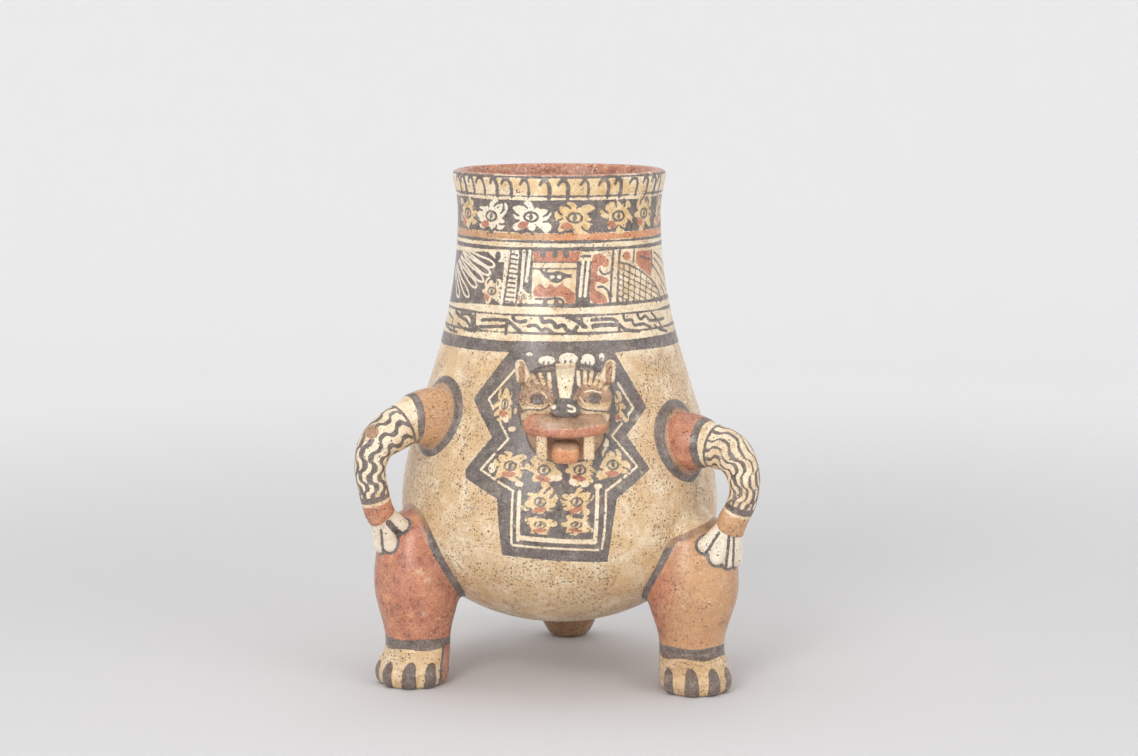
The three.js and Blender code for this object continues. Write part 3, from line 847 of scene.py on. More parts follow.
# Panel with an eye, barred scroll and the top of the hatched quarter
FRIEZE_PANELS = (
    ("red", "straight", ((533, 251), (580, 251), (579, 262), (533, 262))),
    ("ink", (2.1, 2.8), (543, 253.5), (555, 254), (566, 254)),
    ("ink", 1, ((533, 262), (579, 262))),
    ("ink", 1.2, ((533, 268.5), (579, 268.5))),
    ("ink", "round", (
        (538, 268), (544, 276), (551, 281.5), (558, 283), (564, 279.5), (573, 275), (566, 273.5), (558, 271),
        (551, 272.5), (545, 271),
    )),
    ("pale", (1.6, 1.2), (552, 277), (559.5, 277)),
    ("ink", 1.4, ((562, 277), (566, 276.5), (571, 277))),
    ("red", "round", (
        (533, 292), (536, 286), (541, 284), (546, 288), (551, 284), (556, 288), (561, 284), (566, 287),
        (571, 290), (575, 295), (574, 303), (567, 303), (563, 297), (550, 297), (540, 297), (535, 296),
    )),
    ("ink", 1.7, ((536, 299), (549, 299), (556, 298), (562, 300), (564, 304))),
    ("ink", (1.5, 2.4), (545, 302), (556, 302)),
    ("ink", "straight", ((577, 261), (592, 261), (590, 304), (575, 304))),
    ("pale", 2, ((583, 262), (580, 296)), ((588.5, 262), (585, 296))),
    ("ink", 1.9, ((583, 256), (590, 256))),
    ("red", "round", (
        (593, 256), (603, 255), (609, 261), (607, 267), (600, 266), (597, 274), (603, 276), (609, 280),
        (604, 284), (597, 282), (595, 289), (600, 292), (606, 297), (606, 303), (594, 303), (590, 297),
        (591, 278),
    )),
    ("ink", 1.6, ((600, 270), (603, 274), (608, 273.5), (613, 270))),
    ("ink", 1.6, ((598, 287), (603, 287), (608, 291), (610, 300))),
    ("ink", 1.9, ((613.5, 251), (610.5, 304)), ((620, 251), (617.5, 304))),
    ("red", (3.2, 3), (627, 256)),
    ("ink", 1.4, ((634.5, 250), (633.5, 262))),
    ("red", "straight", ((637, 251), (652, 250), (651, 277), (640, 268), (636, 262))),
)
HATCH_ARC = ((619, 262), (630, 265), (641, 271), (651, 279), (658, 289), (661, 301))
HATCH_FOOT = 302
HATCH_SPACING = 5.6
HATCH_SLOPE = 0.55
EDGE_RAYS = (
    ((652, 250), (652, 268)), ((640, 256), (652, 260)), ((654, 252), (664, 266)), ((654, 258), (665, 279)),
    ((653, 265), (666, 291)), ((660, 284), (667, 300)),
)


def main_frieze(paint, half):
    def place(pixels):
        return spots(pixels, half)

    paint.brush(FAN_GROUND, place)
    for ends in FEATHERS:
        feather(paint, *place(ends))
    paint.brush(FRIEZE_GROUND, place)
    for pixel, halves, order in FRIEZE_FACES:
        rosette(paint, pixel, half, halves, order, "cream")
    paint.brush(FRIEZE_RULES, place)
    comb(paint, *map(np.array, place(COMB_GROUND)))
    paint.brush(FRIEZE_PANELS, place)
    paint.brush((("ink", 1, *hatching()), ("ink", 1.4, HATCH_ARC), ("ink", 1.5, *EDGE_RAYS)), place)


def hatching():
    """Crossing lines under the arc of the hatched quarter."""
    columns, rows = np.array(HATCH_ARC, float).T
    left = columns[0]
    rules = []
    for column in np.arange(left + HATCH_SPACING, columns[-1], HATCH_SPACING):
        rules.append(((column, np.interp(column, columns, rows)), (column - 1.5, HATCH_FOOT)))
    run = np.linspace(left, columns[-1], 40)
    for row in np.arange(rows[0] + HATCH_SPACING, HATCH_FOOT, HATCH_SPACING):
        fall = row + HATCH_SLOPE * (run - left)
        under = (fall > np.interp(run, columns, rows)) & (fall < HATCH_FOOT)
        rules.append(((left, row), (run[under][-1], fall[under][-1])))
    return rules


def feather(paint, root, tip):
    """Long loop of cream round a black petal."""
    turn, up, radius = root
    run = np.array([(tip[0] - turn) * radius, tip[1] - up])
    side = np.array([-run[1], run[0]]) / np.linalg.norm(run)
    path = [run * share + side * offset for share, offset in FEATHER_PATH]
    paint.line("pale", [(turn + x / radius, up + y, radius) for x, y in path], FEATHER_WIDTH)


def comb(paint, left_top, right_top, right_low, left_low):
    paint.fill("pale", [left_top, right_top, right_low, left_low])
    for tooth in range(COMB_TEETH):
        share = (tooth + 0.6) / COMB_TEETH
        start = left_top + (left_low - left_top) * share
        end = right_top + (right_low - right_top) * (share + 0.03)
        paint.line("ink", [start, start + 0.75 * (end - start)], COMB_TOOTH)
    paint.line("ink", [left_top, left_low], COMB_EDGE)
    paint.line("ink", [right_top, right_low], COMB_EDGE)


# Serpent band, as photo pixels and brush widths, which the scale turns into millimetres
SERPENT_SCALE = 1.35
SERPENTS = (
    (1.3, ((449, 312), (453, 318), (452, 324), (455, 328))),
    (1.8, ((456, 311), (461, 317), (466, 320), (470, 326))),
    (2.6, ((462, 313), (468, 313), (472, 318), (473, 327))),
    (2, ((475, 315), (474.5, 331))),
    (1.8, ((482, 320), (494, 319.5), (505, 320))),
    (1.8, ((476, 327), (490, 326.5), (507, 326))),
    (1.6, ((507, 320), (506, 334))),
    (1.9, ((508, 321), (514, 326), (521, 332))),
    (1.8, ((513, 317), (515, 320), (520, 322), (526, 321))),
    (1.7, ((528, 326), (536, 325.5), (541, 330), (547, 329), (553, 333))),
    (2.1, (
        (541, 317), (543, 322), (549, 321), (554, 323), (556, 327), (563, 325.5), (567, 330), (573, 332),
        (577, 327),
    )),
    (2.1, ((568, 317), (575, 320), (581, 324), (586, 327))),
    (1.4, ((581, 316), (583, 327))),
    (1.8, ((592, 320), (606, 319), (615, 320), (620, 325), (627, 330), (640, 331))),
    (2.1, ((593, 326), (604, 325), (616, 325))),
    (1.3, ((619, 323), (619.5, 332))),
    (1.6, ((624, 315), (625, 320), (632, 320), (635, 325), (644, 324), (651, 327))),
    (1.6, ((638, 315), (641, 319), (646, 316), (650, 320), (657, 320), (664, 318))),
    (1.5, ((652, 313), (657, 319), (661, 325))),
    (1.5, ((655, 325), (660, 329), (667, 331))),
    (1.5, ((446, 322), (450, 329), (457, 332))),
    (1.4, ((458, 323), (463, 328), (472, 331))),
)


def serpent_band(paint, half):
    for width, pixels in SERPENTS:
        paint.line("ink", spots(pixels, half), SERPENT_SCALE * width)


# Apron painted under the face, as photo pixels, with half sizes of faces, dabs and moons in millimetres
APRON_AGE = 0.3
APRON_EDGE = (
    (511, 350), (473.5, 398.6), (492, 437), (465, 470), (466, 478), (497, 499), (498, 521), (502, 555),
    (555, 561), (607.5, 562), (611, 540), (617, 499), (650.5, 469), (627, 435), (647, 407), (613, 350),
)
APRON_LINE = 1.5
APRON_LINES = (
    ((516, 369), (489, 399), (508.5, 439), (481, 469.5), (513, 491), (511.5, 545), (598, 550)),
    ((618, 383), (633.5, 408), (612, 436), (637.5, 466.5), (606, 491), (602, 549)),
)
APRON_BARS = (
    ("cream", 2.4, ((519.5, 492), (518, 540)), ((597.5, 490), (595, 541))),
    ("cream", 3, ((519, 537.5), (556, 541), (595, 542))),
)
APRON_FACES = (
    ((510, 466), 10.6, 8.8), ((544, 470), 10.4, 9), ((580, 470), 10, 8.8), ((613, 465), 10.4, 9),
    ((540, 502), 9.8, 8.3), ((577, 502), 9.8, 8.3), ((540, 525), 9.8, 5.9), ((576.5, 525), 9.8, 5.9),
    ((505, 404), 6.4, 10), ((616, 408), 6.4, 9.6),
)
APRON_DABS = (
    ((492, 468), 2.4, 3.2), ((519, 484), 2.8, 1.7), ((598, 486), 2.8, 1.6), ((573, 482), 2.6, 2),
    ((585, 484), 2.8, 2), ((556, 478), 4, 2), ((506, 419), 2, 2.4), ((512, 429), 2.6, 1.6),
    ((606, 443), 2.2, 3),
)
CROWN_MOONS = (
    ((546.5, 360.5), 5.2, 2.8), ((568.5, 359), 6, 4), ((588, 360.5), 4.6, 4.2), ((529.5, 354.5), 2.3, 1.2),
    ((602, 357), 1.8, 2.6),
)
MOON_MARKS = (-0.35, 0.25)


def apron(paint):
    paint.fill("ink", spots(APRON_EDGE))
    paint.age[paint.cover["ink"] > 0] = APRON_AGE
    for pixels in APRON_LINES:
        paint.line("cream", spots(pixels), APRON_LINE, smooth=False)
    paint.brush(APRON_BARS, spots)
    for order, (pixel, *halves) in enumerate(APRON_FACES):
        rosette(paint, pixel, 0, halves, order + 3, "gold", APRON_CHEEK)
    for pixel, *halves in APRON_DABS:
        paint.oval("cream", vessel_spot(pixel), *halves)
    for pixel, half_width, half_height in CROWN_MOONS:
        turn, up, radius = vessel_spot(pixel)
        paint.oval("pale", (turn, up, radius), half_width, half_height)
        for step in MOON_MARKS:
            place = (turn + step * half_width / radius, up - 0.5 * half_height, radius)
            paint.oval("ink", place, 0.14 * half_width, 0.45 * half_height)


def seam_share(height):
    """How fully the seam of a thigh is painted: bare at the top of the thigh, whole lower down."""
    return smooth_step(height, SEAM_BARE, SEAM_WHOLE)


def seams(paint, turn, height):
    """Line along the seam of each thigh, brown with black in it."""
    reach = vessel_radius(height)
    points = np.column_stack([reach * np.sin(turn), -reach * np.cos(turn), height])
    for side in (LEFT, RIGHT):
        near = thigh_field(side)(points)
        crest = min(side.seam_crest, SEAM_TOP)
        paint.lay("brown", SEAM_WIDTH * smooth_step(height, crest, crest - SEAM_FADE) - near)
        paint.lay("ink", seam_share(height) * (SEAM_WIDTH + 2) - 2 - near)


# Supports

@for_each
def thigh_field(points, side):
    radius = side.thigh_radius
    reach = np.hypot(points[:, 0] - side.leg[0], points[:, 1] - side.leg[1])
    height = points[:, 2]
    share = np.clip((height - ANKLE_HEIGHT) / (THIGH_HEIGHT - ANKLE_HEIGHT), 0, 1)
    lower = (reach - ANKLE_RADIUS - (radius - ANKLE_RADIUS) * (1 - np.cos(np.pi * share)) / 2) * 0.97
    rise = np.maximum(height - THIGH_HEIGHT, 0) / THIGH_TOP
    level = ((reach / radius) ** THIGH_SHARP + rise**2 + 1e-9) ** 0.5
    steep = 0.5 * THIGH_SHARP * (reach / radius) ** (THIGH_SHARP - 1) / radius
    upper = (level - 1) / np.maximum(np.hypot(steep, rise / THIGH_TOP) / level, 0.012)
    return np.maximum(np.where(height > THIGH_HEIGHT, upper, lower), ANKLE_HEIGHT - ANKLE_LAP - height)


def tail_field(points):
    reach = np.hypot(points[:, 0] - TAIL_AXIS[0], points[:, 1] - TAIL_AXIS[1])
    height = points[:, 2]
    turn = np.arccos((1 - np.clip(height / TAIL_HEIGHT, 0, 1)) ** (1 / TAIL_SOLE_ROUND))
    lower = TAIL_SOLE_RADIUS + (TAIL_RADIUS - TAIL_SOLE_RADIUS) * np.sin(turn)
    rise = np.clip((height - TAIL_HEIGHT) / TAIL_TOP, 0, 1)
    upper = TAIL_RADIUS * np.maximum(1 - rise**2, 1e-4) ** TAIL_END_ROUND
    wall = (reach - np.where(height > TAIL_HEIGHT, upper, lower)) * 0.8
    return np.maximum(np.maximum(wall, -height), height - TAIL_HEIGHT - 0.97 * TAIL_TOP)


def hollowed(own, axis, floor, slit_middle, slit_turn):
    """A support luted to the vessel, with a hollow inside its wall, which a slit opens to the back."""
    shape = luted(own, vessel_field, SUPPORT_FILLET)
    turn = math.radians(slit_turn)
    backward = np.array([math.sin(turn), math.cos(turn)])
    sideways = np.array([math.cos(turn), -math.sin(turn)])

    def field(points):
        height = points[:, 2]
        inner = np.maximum(own(points) + SUPPORT_WALL, floor - height)
        away = points[:, :2] - axis
        beside = np.maximum(np.abs(away @ sideways) - SLIT_WIDTH / 2, -(away @ backward))
        slit = np.maximum(beside, np.abs(height - slit_middle) - SLIT_HEIGHT / 2)
        return np.maximum(shape(points), -np.minimum(inner, slit))

    return field


def support_mesh(field, axis, radius, low, high, step):
    reach = radius + SUPPORT_FILLET + 2
    return surface_of(field, (*(np.array(axis) - reach), low), (*(np.array(axis) + reach), high), step)


def thigh(side):
    own = thigh_field(side)
    slit_middle = ANKLE_HEIGHT + SLIT_RISE * (THIGH_HEIGHT - ANKLE_HEIGHT)
    field = hollowed(own, side.leg, 0, slit_middle, side.sign * SLIT_TURN)
    top = THIGH_HEIGHT + THIGH_TOP + SUPPORT_MARGIN
    vertices, faces = support_mesh(field, side.leg, side.thigh_radius, ANKLE_HEIGHT - 4, top, THIGH_STEP)
    x, z = vertices[:, 0], vertices[:, 2]
    inward = -side.sign * (x - side.leg[0])
    joint = vessel_field(vertices)
    above = z - side.seam_crest + 0.4 * inward
    paint = front_paint(vertices)
    paint.age = np.where(above > CREST_EDGE, 1, 0.45)
    paint.coat(side.thigh_slip)
    if side is RIGHT:
        paint.lay("red", (inward - 13 - 0.004 * (z - 70) ** 2) * 0.035)
    paint.lay("brown", JOINT_BROWN - joint)
    paint.lay("ink", JOINT_BLACK * seam_share(z) - 2 - joint)
    paint.lay("brown", CREST_LINE - np.abs(above))
    paint.lay("cream", above - CREST_EDGE)
    paint.lay("ink", side.ankle_band + ANKLE_BAND - z + 0.5 * np.sin(x / 5))
    # Black round the paw: partly slip, partly painted shadow beside the fingers.
    paint.lay("ink", FINGER_EDGE_AND_SHADOW - paw_field(side)(vertices))
    paint.lay("clay", -2 - own(vertices))
    piece(f"thigh_{side.name}", vertices, faces, paint)


def tail():
    field = hollowed(tail_field, TAIL_AXIS, TAIL_FLOOR, TAIL_HEIGHT, 0)
    top = TAIL_HEIGHT + TAIL_TOP + SUPPORT_MARGIN
    vertices, faces = support_mesh(field, TAIL_AXIS, TAIL_RADIUS, 0, top, TAIL_STEP)
    vertices[:, 2] = np.maximum(vertices[:, 2], 0)
    paint = front_paint(vertices)
    # Dark clay with heavy stain: partly the tail's own bare clay, partly painted shade under the belly.
    paint.age[:] = 1.4
    paint.coat("clay")
    piece("tail_support", vertices, faces, paint)


def foot(side):
    """Foot with bulging toes in front, flat underneath."""
    turns = np.radians(np.arange(0, 360, 2))
    levels = np.concatenate([[0, 0.2, 0.6, 1.2, 2], np.arange(2.8, ANKLE_HEIGHT, 0.7)])
    from_front = np.degrees((turns + np.pi) % (2 * np.pi) - np.pi)
    bulge = np.max([np.exp(-(((from_front - toe) / TOE_SPREAD) ** 2)) for toe in side.toes], axis=0)
    forward = smooth_step(np.abs(from_front), *TOE_FRONT)
    axis = np.array([*side.leg, 0])
    shift = np.array([*side.foot_shift, 0])
    rings = []
    for level in levels:
        upper = smooth_step(level, FOOT_HEIGHT, ANKLE_HEIGHT - 1)
        tuck = FOOT_TUCK * (1 - math.sqrt(1 - max(0, 1 - level / FOOT_ROUND) ** 2))
        toes = (1 - upper) * TOE_BULGE * (bulge - 0.6) * forward - tuck
        width = FOOT_HALF_WIDTH + (ANKLE_RADIUS - FOOT_HALF_WIDTH) * upper + toes
        length = FOOT_HALF_LENGTH + (ANKLE_RADIUS - FOOT_HALF_LENGTH) * upper + toes
        ring = np.column_stack([width * np.sin(turns), -length * np.cos(turns), np.full(len(turns), level)])
        rings.append(ring + shift * (1 - upper) + axis)
    vertices, faces = tube(rings, axis + shift, axis + [0, 0, levels[-1]])
    angle = np.concatenate([[0], np.tile(from_front, len(rings)), [0]])
    piece(f"foot_{side.name}", vertices, faces, foot_paint(side, vertices[:, 2], angle))


MM_PER_DEGREE = math.radians(FOOT_HALF_LENGTH)


def foot_paint(side, height, angle):
    across = MM_PER_DEGREE * angle
    paint = Paint(across, height)
    for toe in side.toes:
        middle = MM_PER_DEGREE * toe
        broad = TOE_PAINT - 0.06 * abs(toe)
        paint.line("ink", [(middle, -3), (middle * 0.92, 12)], broad, tip=TOE_PAINT_TAPER * broad)
    paint.lay("ink", height - side.ankle_band + 0.6 * np.sin(across / 6))
    behind = np.maximum(-side.sign * angle - side.heel, np.abs(angle) - HEEL_BEHIND) * MM_PER_DEGREE
    paint.lay("ink", behind + HEEL_LINE)
    paint.lay("red", behind)
    paint.age[:] = 1.2
    return paint


# Arms

def around_thigh(side, angle, standoff, rise):
    reach = side.thigh_radius + standoff
    turn = math.radians(angle)
    x = side.leg[0] + side.sign * reach * math.sin(turn)
    return np.array([x, side.leg[1] - reach * math.cos(turn), THIGH_HEIGHT + THIGH_TOP + rise])


def shoulder_of(side):
    """Middle of a shoulder on the vessel, and the level direction out of it."""
    turn = math.radians(side.shoulder_azimuth)
    outward = np.array([math.sin(turn), -math.cos(turn), 0])
    return outward * vessel_radius(side.shoulder_height) + [0, 0, side.shoulder_height], outward


def from_shoulder(points, side):
    """Distance of points along the axis of a shoulder, and away from it."""
    shoulder, outward = shoulder_of(side)
    along = (points - shoulder) @ outward
    return along, np.linalg.norm(points - shoulder - along[:, None] * outward, axis=1)


def hand_point(side, share):
    """Point of the hand's middle line, a share of the way from the wrist to the palm."""
    wrist, palm = around_thigh(side, *side.wrist), around_thigh(side, *side.palm)
    return wrist + share * (palm - wrist)


def arm_line(side):
    shoulder, outward = shoulder_of(side)
    reaches = ((side.boss_length - ARM_LAP, 0), side.bend, side.elbow)
    points = [shoulder + outward * reach - [0, 0, drop] for reach, drop in reaches]
    points += [around_thigh(side, *side.cuff), around_thigh(side, *side.wrist), hand_point(side, ARM_END)]
    return smooth_curve(points, steps=24)


@for_each
def boss_field(points, side):
    along, reach = from_shoulder(points, side)
    share = np.clip(along / side.boss_length, 0, 1)
    radius = BOSS_RADIUS + (BOSS_END_RADIUS - BOSS_RADIUS) * share**BOSS_TAPER
    return smooth_max(reach - radius, along - side.boss_length, BOSS_ROUND)


@for_each
def collar_field(points, side):
    _, reach = from_shoulder(points, side)
    ring = np.hypot(reach - (COLLAR_RADIUS - COLLAR_ROLL), vessel_field(points) * COLLAR_FLAT) - COLLAR_ROLL
    return np.maximum(ring, BOSS_RADIUS - COLLAR_LAP - reach)


def shoulder_mesh(side, field, margin, step):
    shoulder, outward = shoulder_of(side)
    both = np.array([shoulder - outward * SHOULDER_BACK, shoulder + outward * side.boss_length])
    return surface_of(field, both.min(0) - margin, both.max(0) + margin, step)


def collar(side):
    field = luted(collar_field(side), vessel_field, COLLAR_FILLET)
    vertices, faces = shoulder_mesh(side, field, COLLAR_MARGIN, COLLAR_STEP)
    _, reach = from_shoulder(vertices, side)
    paint = front_paint(vertices)
    # Brown over the collar with black on its outer part; the lighter brown inner part is partly the slip and
    # partly a painted highlight on the roll.
    paint.coat("brown")
    paint.lay("ink", 0.35 * (reach - COLLAR_RADIUS + COLLAR_BLACK))
    piece(f"shoulder_collar_{side.name}", vertices, faces, paint)


def boss(side):
    field = luted(boss_field(side), collar_field(side), BOSS_FILLET, BOSS_DEPTH)

    def cut(points):
        return np.maximum(field(points), -(vessel_field(points) + BOSS_SINK))

    vertices, faces = shoulder_mesh(side, cut, BOSS_MARGIN, BOSS_STEP)
    past = from_shoulder(vertices, side)[0] - side.boss_length
    paint = front_paint(vertices)
    paint.coat(side.boss_slip)
    paint.lay("brown", 0.35 * (1.8 - collar_field(side)(vertices)))
    paint.lay("ink", past + BOSS_BLACK)
    paint.lay("cream", past + BOSS_CREAM)
    piece(f"shoulder_boss_{side.name}", vertices, faces, paint)


def forearm(side):
    line = arm_line(side)
    length = length_along(line)
    end = length[-1]
    along = np.arange(0, end, ARM_STEP)
    middle = np.stack([np.interp(along, length, line[:, axis]) for axis in range(3)], 1)
    ahead = np.gradient(middle, axis=0)
    ahead /= np.linalg.norm(ahead, axis=1)[:, None]
    sideways = unit(np.cross([0, 0, 1], shoulder_of(side)[1]))
    outer = np.cross(ahead, sideways) * side.sign
    turns = np.radians(np.arange(0, 360, 5))
    radius = ARM_RADIUS + (WRIST_RADIUS - ARM_RADIUS) * smooth_step(along / end, *ARM_TAPER)
    rings = []
    for center, out, size in zip(middle, outer, radius):
        rings.append(center + size * (np.cos(turns)[:, None] * out + np.sin(turns)[:, None] * sideways))
    vertices, faces = tube(rings, middle[0], middle[-1])
    turn = np.concatenate([[0], np.tile(turns, len(rings)), [0]])
    place = np.concatenate([[0], np.repeat(along, len(turns)), [end]])
    size = np.concatenate([[ARM_RADIUS], np.repeat(radius, len(turns)), [WRIST_RADIUS]])
    paint = front_paint(vertices)
    arm_paint(paint, side, turn, place, size, end)
    across, down = pixels_of(vertices)
    paint.lay("brown", WORN_RADIUS - PIXEL * np.hypot(across - WORN_SPOT[0], down - WORN_SPOT[1]))
    piece(f"forearm_{side.name}", vertices, faces, paint)


def arm_paint(paint, side, turn, place, size, end):
    """Wavy lines along an arm, with rings at its shoulder and its cuff."""
    period, sway, width = side.arm_wave
    for order in range(side.arm_lines):
        base = 2 * math.pi * (order + 0.1 * math.sin(5 * order)) / side.arm_lines
        wave = sway * np.tanh(2 * np.sin(2 * math.pi * place / period + 0.5 * math.sin(2 * order)))
        gap = ((turn - base + np.pi) % (2 * np.pi) - np.pi) * size - wave
        paint.lay("ink", width / 2 + 0.3 * np.sin(place / 6 + 2 * order) - np.abs(gap))
    cuff = end - side.cuff_length
    ring = cuff - CUFF_CREAM
    paint.lay("cream", ARM_RING - place)
    paint.lay("ink", np.minimum(place - ARM_RING, ARM_RING + ARM_RING_LINE - place))
    paint.lay("ink", np.minimum(place - ring + CUFF_RING, ring - place))
    paint.lay("cream", np.minimum(place - ring, cuff - place))
    paint.lay(side.thigh_slip, place - cuff)


def finger_ends(side):
    """Start and end of each finger, fanned out from the end of the arm over the thigh."""
    center = np.array([*side.leg, 0])
    root = hand_point(side, FINGER_START)
    tips = [touch(thigh_field(side), pixel) for pixel in side.fingers]
    tips = [tip + unit((tip - center) * [1, 1, 0]) * FINGER_LIFT for tip in tips]
    middle = np.mean(tips, axis=0)
    return np.array([(root + FINGER_FAN * (tip - middle), tip) for tip in tips])


@for_each
def paw_field(points, side):
    total = np.full(len(points), 1e3)
    for start, end in finger_ends(side):
        finger = rod(points, start, end, FINGER_ROOT_RADIUS, FINGER_RADIUS)
        total = smooth_min(total, finger, FINGER_BLEND)
    return total


def paw(side):
    field = luted(paw_field(side), thigh_field(side), PAW_FILLET)
    reached = finger_ends(side).reshape(-1, 3)
    vertices, faces = surface_of(field, reached.min(0) - PAW_MARGIN, reached.max(0) + PAW_MARGIN, PAW_STEP)
    paint = front_paint(vertices)
    paint.age[:] = 0.3
    paint.coat("pale")
    paint.brush([("ink", *gap) for gap in side.finger_gaps], at_pixels)
    # Black on the paw's edge at the thigh: partly slip, partly painted shadow.
    paint.lay("ink", PAW_LINE_AND_SHADOW - thigh_field(side)(vertices))
    piece(f"paw_{side.name}", vertices, faces, paint)


# Head. Its shapes are fields of points about the head's seat.

head_seat = np.array([HEAD_SHIFT, -float(vessel_radius(HEAD_HEIGHT)), HEAD_HEIGHT])


def vessel_here(points):
    return vessel_field(points + head_seat)


def mouth(points):
    middle = (MOUTH_TOP + MOUTH_FLOOR) / 2
    center = (0, MOUTH_BACK - MOUTH_HALF_DEPTH, middle)
    return slab(points, center, (MOUTH_HALF_WIDTH, MOUTH_HALF_DEPTH, MOUTH_TOP - middle), MOUTH_ROUND)


def cranium(points):
    skull = ball(points, (0, 0, CRANIUM_RISE), CRANIUM_RADII, CRANIUM_POWER)
    return smooth_max(smooth_min(skull, rod(points, *BRIDGE), 7), -mouth(points), MOUTH_EDGE)


def muzzle(points):
    """A roll of clay bent round the front of the face, with a thinner roll for the lip."""
    x = np.clip(points[:, 0], -MUZZLE_REACH, MUZZLE_REACH)
    y = MUZZLE_MIDDLE[0] - MUZZLE_BOW * np.sqrt(1 - (x / MUZZLE_BEND) ** 2)
    z = np.full(len(points), float(MUZZLE_MIDDLE[1]))
    roll = np.linalg.norm(points - np.column_stack([x, y, z]), axis=1) - MUZZLE_RADIUS
    edge = np.column_stack([x * 1.08, y - LIP_FORWARD, z - LIP_DROP + 0.006 * x * x])
    return smooth_min(roll, np.linalg.norm(points - edge, axis=1) - LIP_ROLL, 1.6)


def jaw(points):
    seat = -float(head_seat[1]) - float(vessel_radius(HEAD_HEIGHT + JAW_RISE))
    return smooth_max(ball(points, (0, seat, JAW_RISE), JAW_RADII, JAW_POWER), -mouth(points), MOUTH_EDGE)


def tongue(points):
    return ball(points, (0, -TONGUE_RADII[1], TONGUE_MIDDLE), TONGUE_RADII, TONGUE_POWER)


def nose(points):
    pad = ball(points, NOSE_PLACE, NOSE_RADII, NOSE_POWER)
    for sign in (-1, 1):
        pad = smooth_max(pad, -ball(points * [sign, 1, 1], NOSTRIL, NOSTRIL_RADII), 1)
    return pad


@for_each
def fang(points, sign):
    return slab(points * [sign, 1, 1], FANG_PLACE, FANG_HALVES, 1.5)


@for_each
def eye(points, sign):
    dent = EYE_PLACE - [0, EYE_RADII[1] + 1, 0]
    points = points * [sign, 1, 1]
    return smooth_max(ball(points, EYE_PLACE, EYE_RADII), -ball(points, dent, EYE_DENT), 1.6)


@for_each
def ear(points, sign):
    points = points * [sign, 1, 1]
    scoop = rod(points, EAR_ROOT + [0.4, -4.4, 1], EAR_TIP + [0, -3.4, -2.5], 2.8, 1.4)
    return smooth_max(rod(points, EAR_ROOT, EAR_TIP, 4.9, 3.3), -scoop, 0.8)


def under_nose(points):
    return np.minimum(cranium(points), muzzle(points))


# Face paint, as rows for the brush
FOREHEAD = (
    (510, 350), (622, 350), (614, 392), (607, 387), (599, 383), (590, 382.5), (582, 385), (577, 390),
    (572, 401), (558, 401), (552, 392), (547, 386), (538, 382), (528, 383), (519, 388), (512, 392),
)
FOREHEAD_STRIPE = ((555, 360), (576, 360), (573, 385), (570, 399), (560, 399), (557, 380))
BROW_STRIPES = (
    ((517, 381), (521, 388)), ((524, 377), (529, 385)), ((532, 375), (537, 383)), ((540, 374), (544, 384)),
    ((549, 374), (550, 387)), ((578, 372), (579, 385)), ((585, 372), (585, 383)), ((592, 372), (590, 383)),
    ((599, 374), (595, 384)), ((605, 377), (600, 386)), ((610, 382), (605, 389)),
)
CHEEK_LINES = (
    ((520, 412), (530, 409.5), (541, 410), (549, 406)), ((578, 406), (586, 410), (598, 411), (610, 412)),
)
CHEEK_PALE = (
    ((521, 413.5), (532, 412), (545, 416), (520, 420)), ((585, 414), (609, 414.5), (608, 421), (588, 417)),
)
# Pale crescents round the pupils: painted highlights.
EYE_PAINTED_HIGHLIGHTS = (
    ((542, 392), (546.5, 397), (545, 403)), ((585, 392), (592, 390.5), (601, 393)),
    ((589, 406), (583, 402), (580, 397)),
)
NOSE_BLACK = (("ink", (11.5, 6), (563, 407.5)),)
SKULL_ROWS = (
    ("ink", "straight", FOREHEAD),
    ("cream", "straight", FOREHEAD_STRIPE),
    ("cream", 2.3, *BROW_STRIPES),
    ("ink", 1.7, *CHEEK_LINES),
    ("cream", "straight", *CHEEK_PALE),
)
LID_ROWS = (("ink", "straight", FOREHEAD), ("cream", 2.3, *BROW_STRIPES))
EYE_ROWS = (
    ("cream", "straight", *CHEEK_PALE),
    ("ink", 1.1, *CHEEK_LINES),
    # Painted highlights round the pupils.
    ("pale", 0.9, *EYE_PAINTED_HIGHLIGHTS),
    ("ink", (4.6, 3.5), (537, 399.5)),
    ("ink", (4.2, 3.6), (594.5, 398.5)),
)
NOSE_ROWS = (
    ("pale", (1.7, 1.5), (553.5, 407)),
    ("pale", 1.5, ((568, 405.5), (574, 408), (574, 411.5), (569, 411))),
)
LIP_ROW = 429.5
TEMPLE = 27.6


def paint_skull(paint, points):
    paint.coat("brown")
    paint.brush(SKULL_ROWS, at_pixels)
    paint.lay("ink", np.abs(points[:, 0]) - TEMPLE)
    paint.brush(NOSE_BLACK, at_pixels)


def paint_eye(paint, points):
    paint.coat("brown")
    paint.brush(LID_ROWS, at_pixels)
    paint.lay("cream", 0.16 * (EYE_PLACE[2] - 3 - points[:, 2]))
    paint.age = np.where(points[:, 2] < 3, 0.5, 1.3)
    paint.brush(EYE_ROWS, at_pixels)


def paint_muzzle(paint, points):
    """Red lip under a brown roll, which turns red to the left."""
    x = points[:, 0]
    paint.coat("brown")
    paint.lay("red", -LIP_ROW * PIXEL - paint.up + 0.006 * x**2)
    paint.cover["brown"] = np.minimum(paint.cover["brown"], 0.04 * (x + 19))
    paint.cover["red"] = np.maximum(paint.cover["red"], -0.04 * (x + 12))
    paint.brush(NOSE_BLACK, at_pixels)


def paint_nose(paint, points):
    paint.coat("ink")
    paint.brush(NOSE_ROWS, at_pixels)


def paint_ear(paint, points):
    hollow = 1.9 - np.abs(np.abs(points[:, 0]) - EAR_ROOT[0] - 0.8)
    paint.lay("brown", np.minimum(hollow, EAR_ROOT[1] - 0.5 - points[:, 1]))


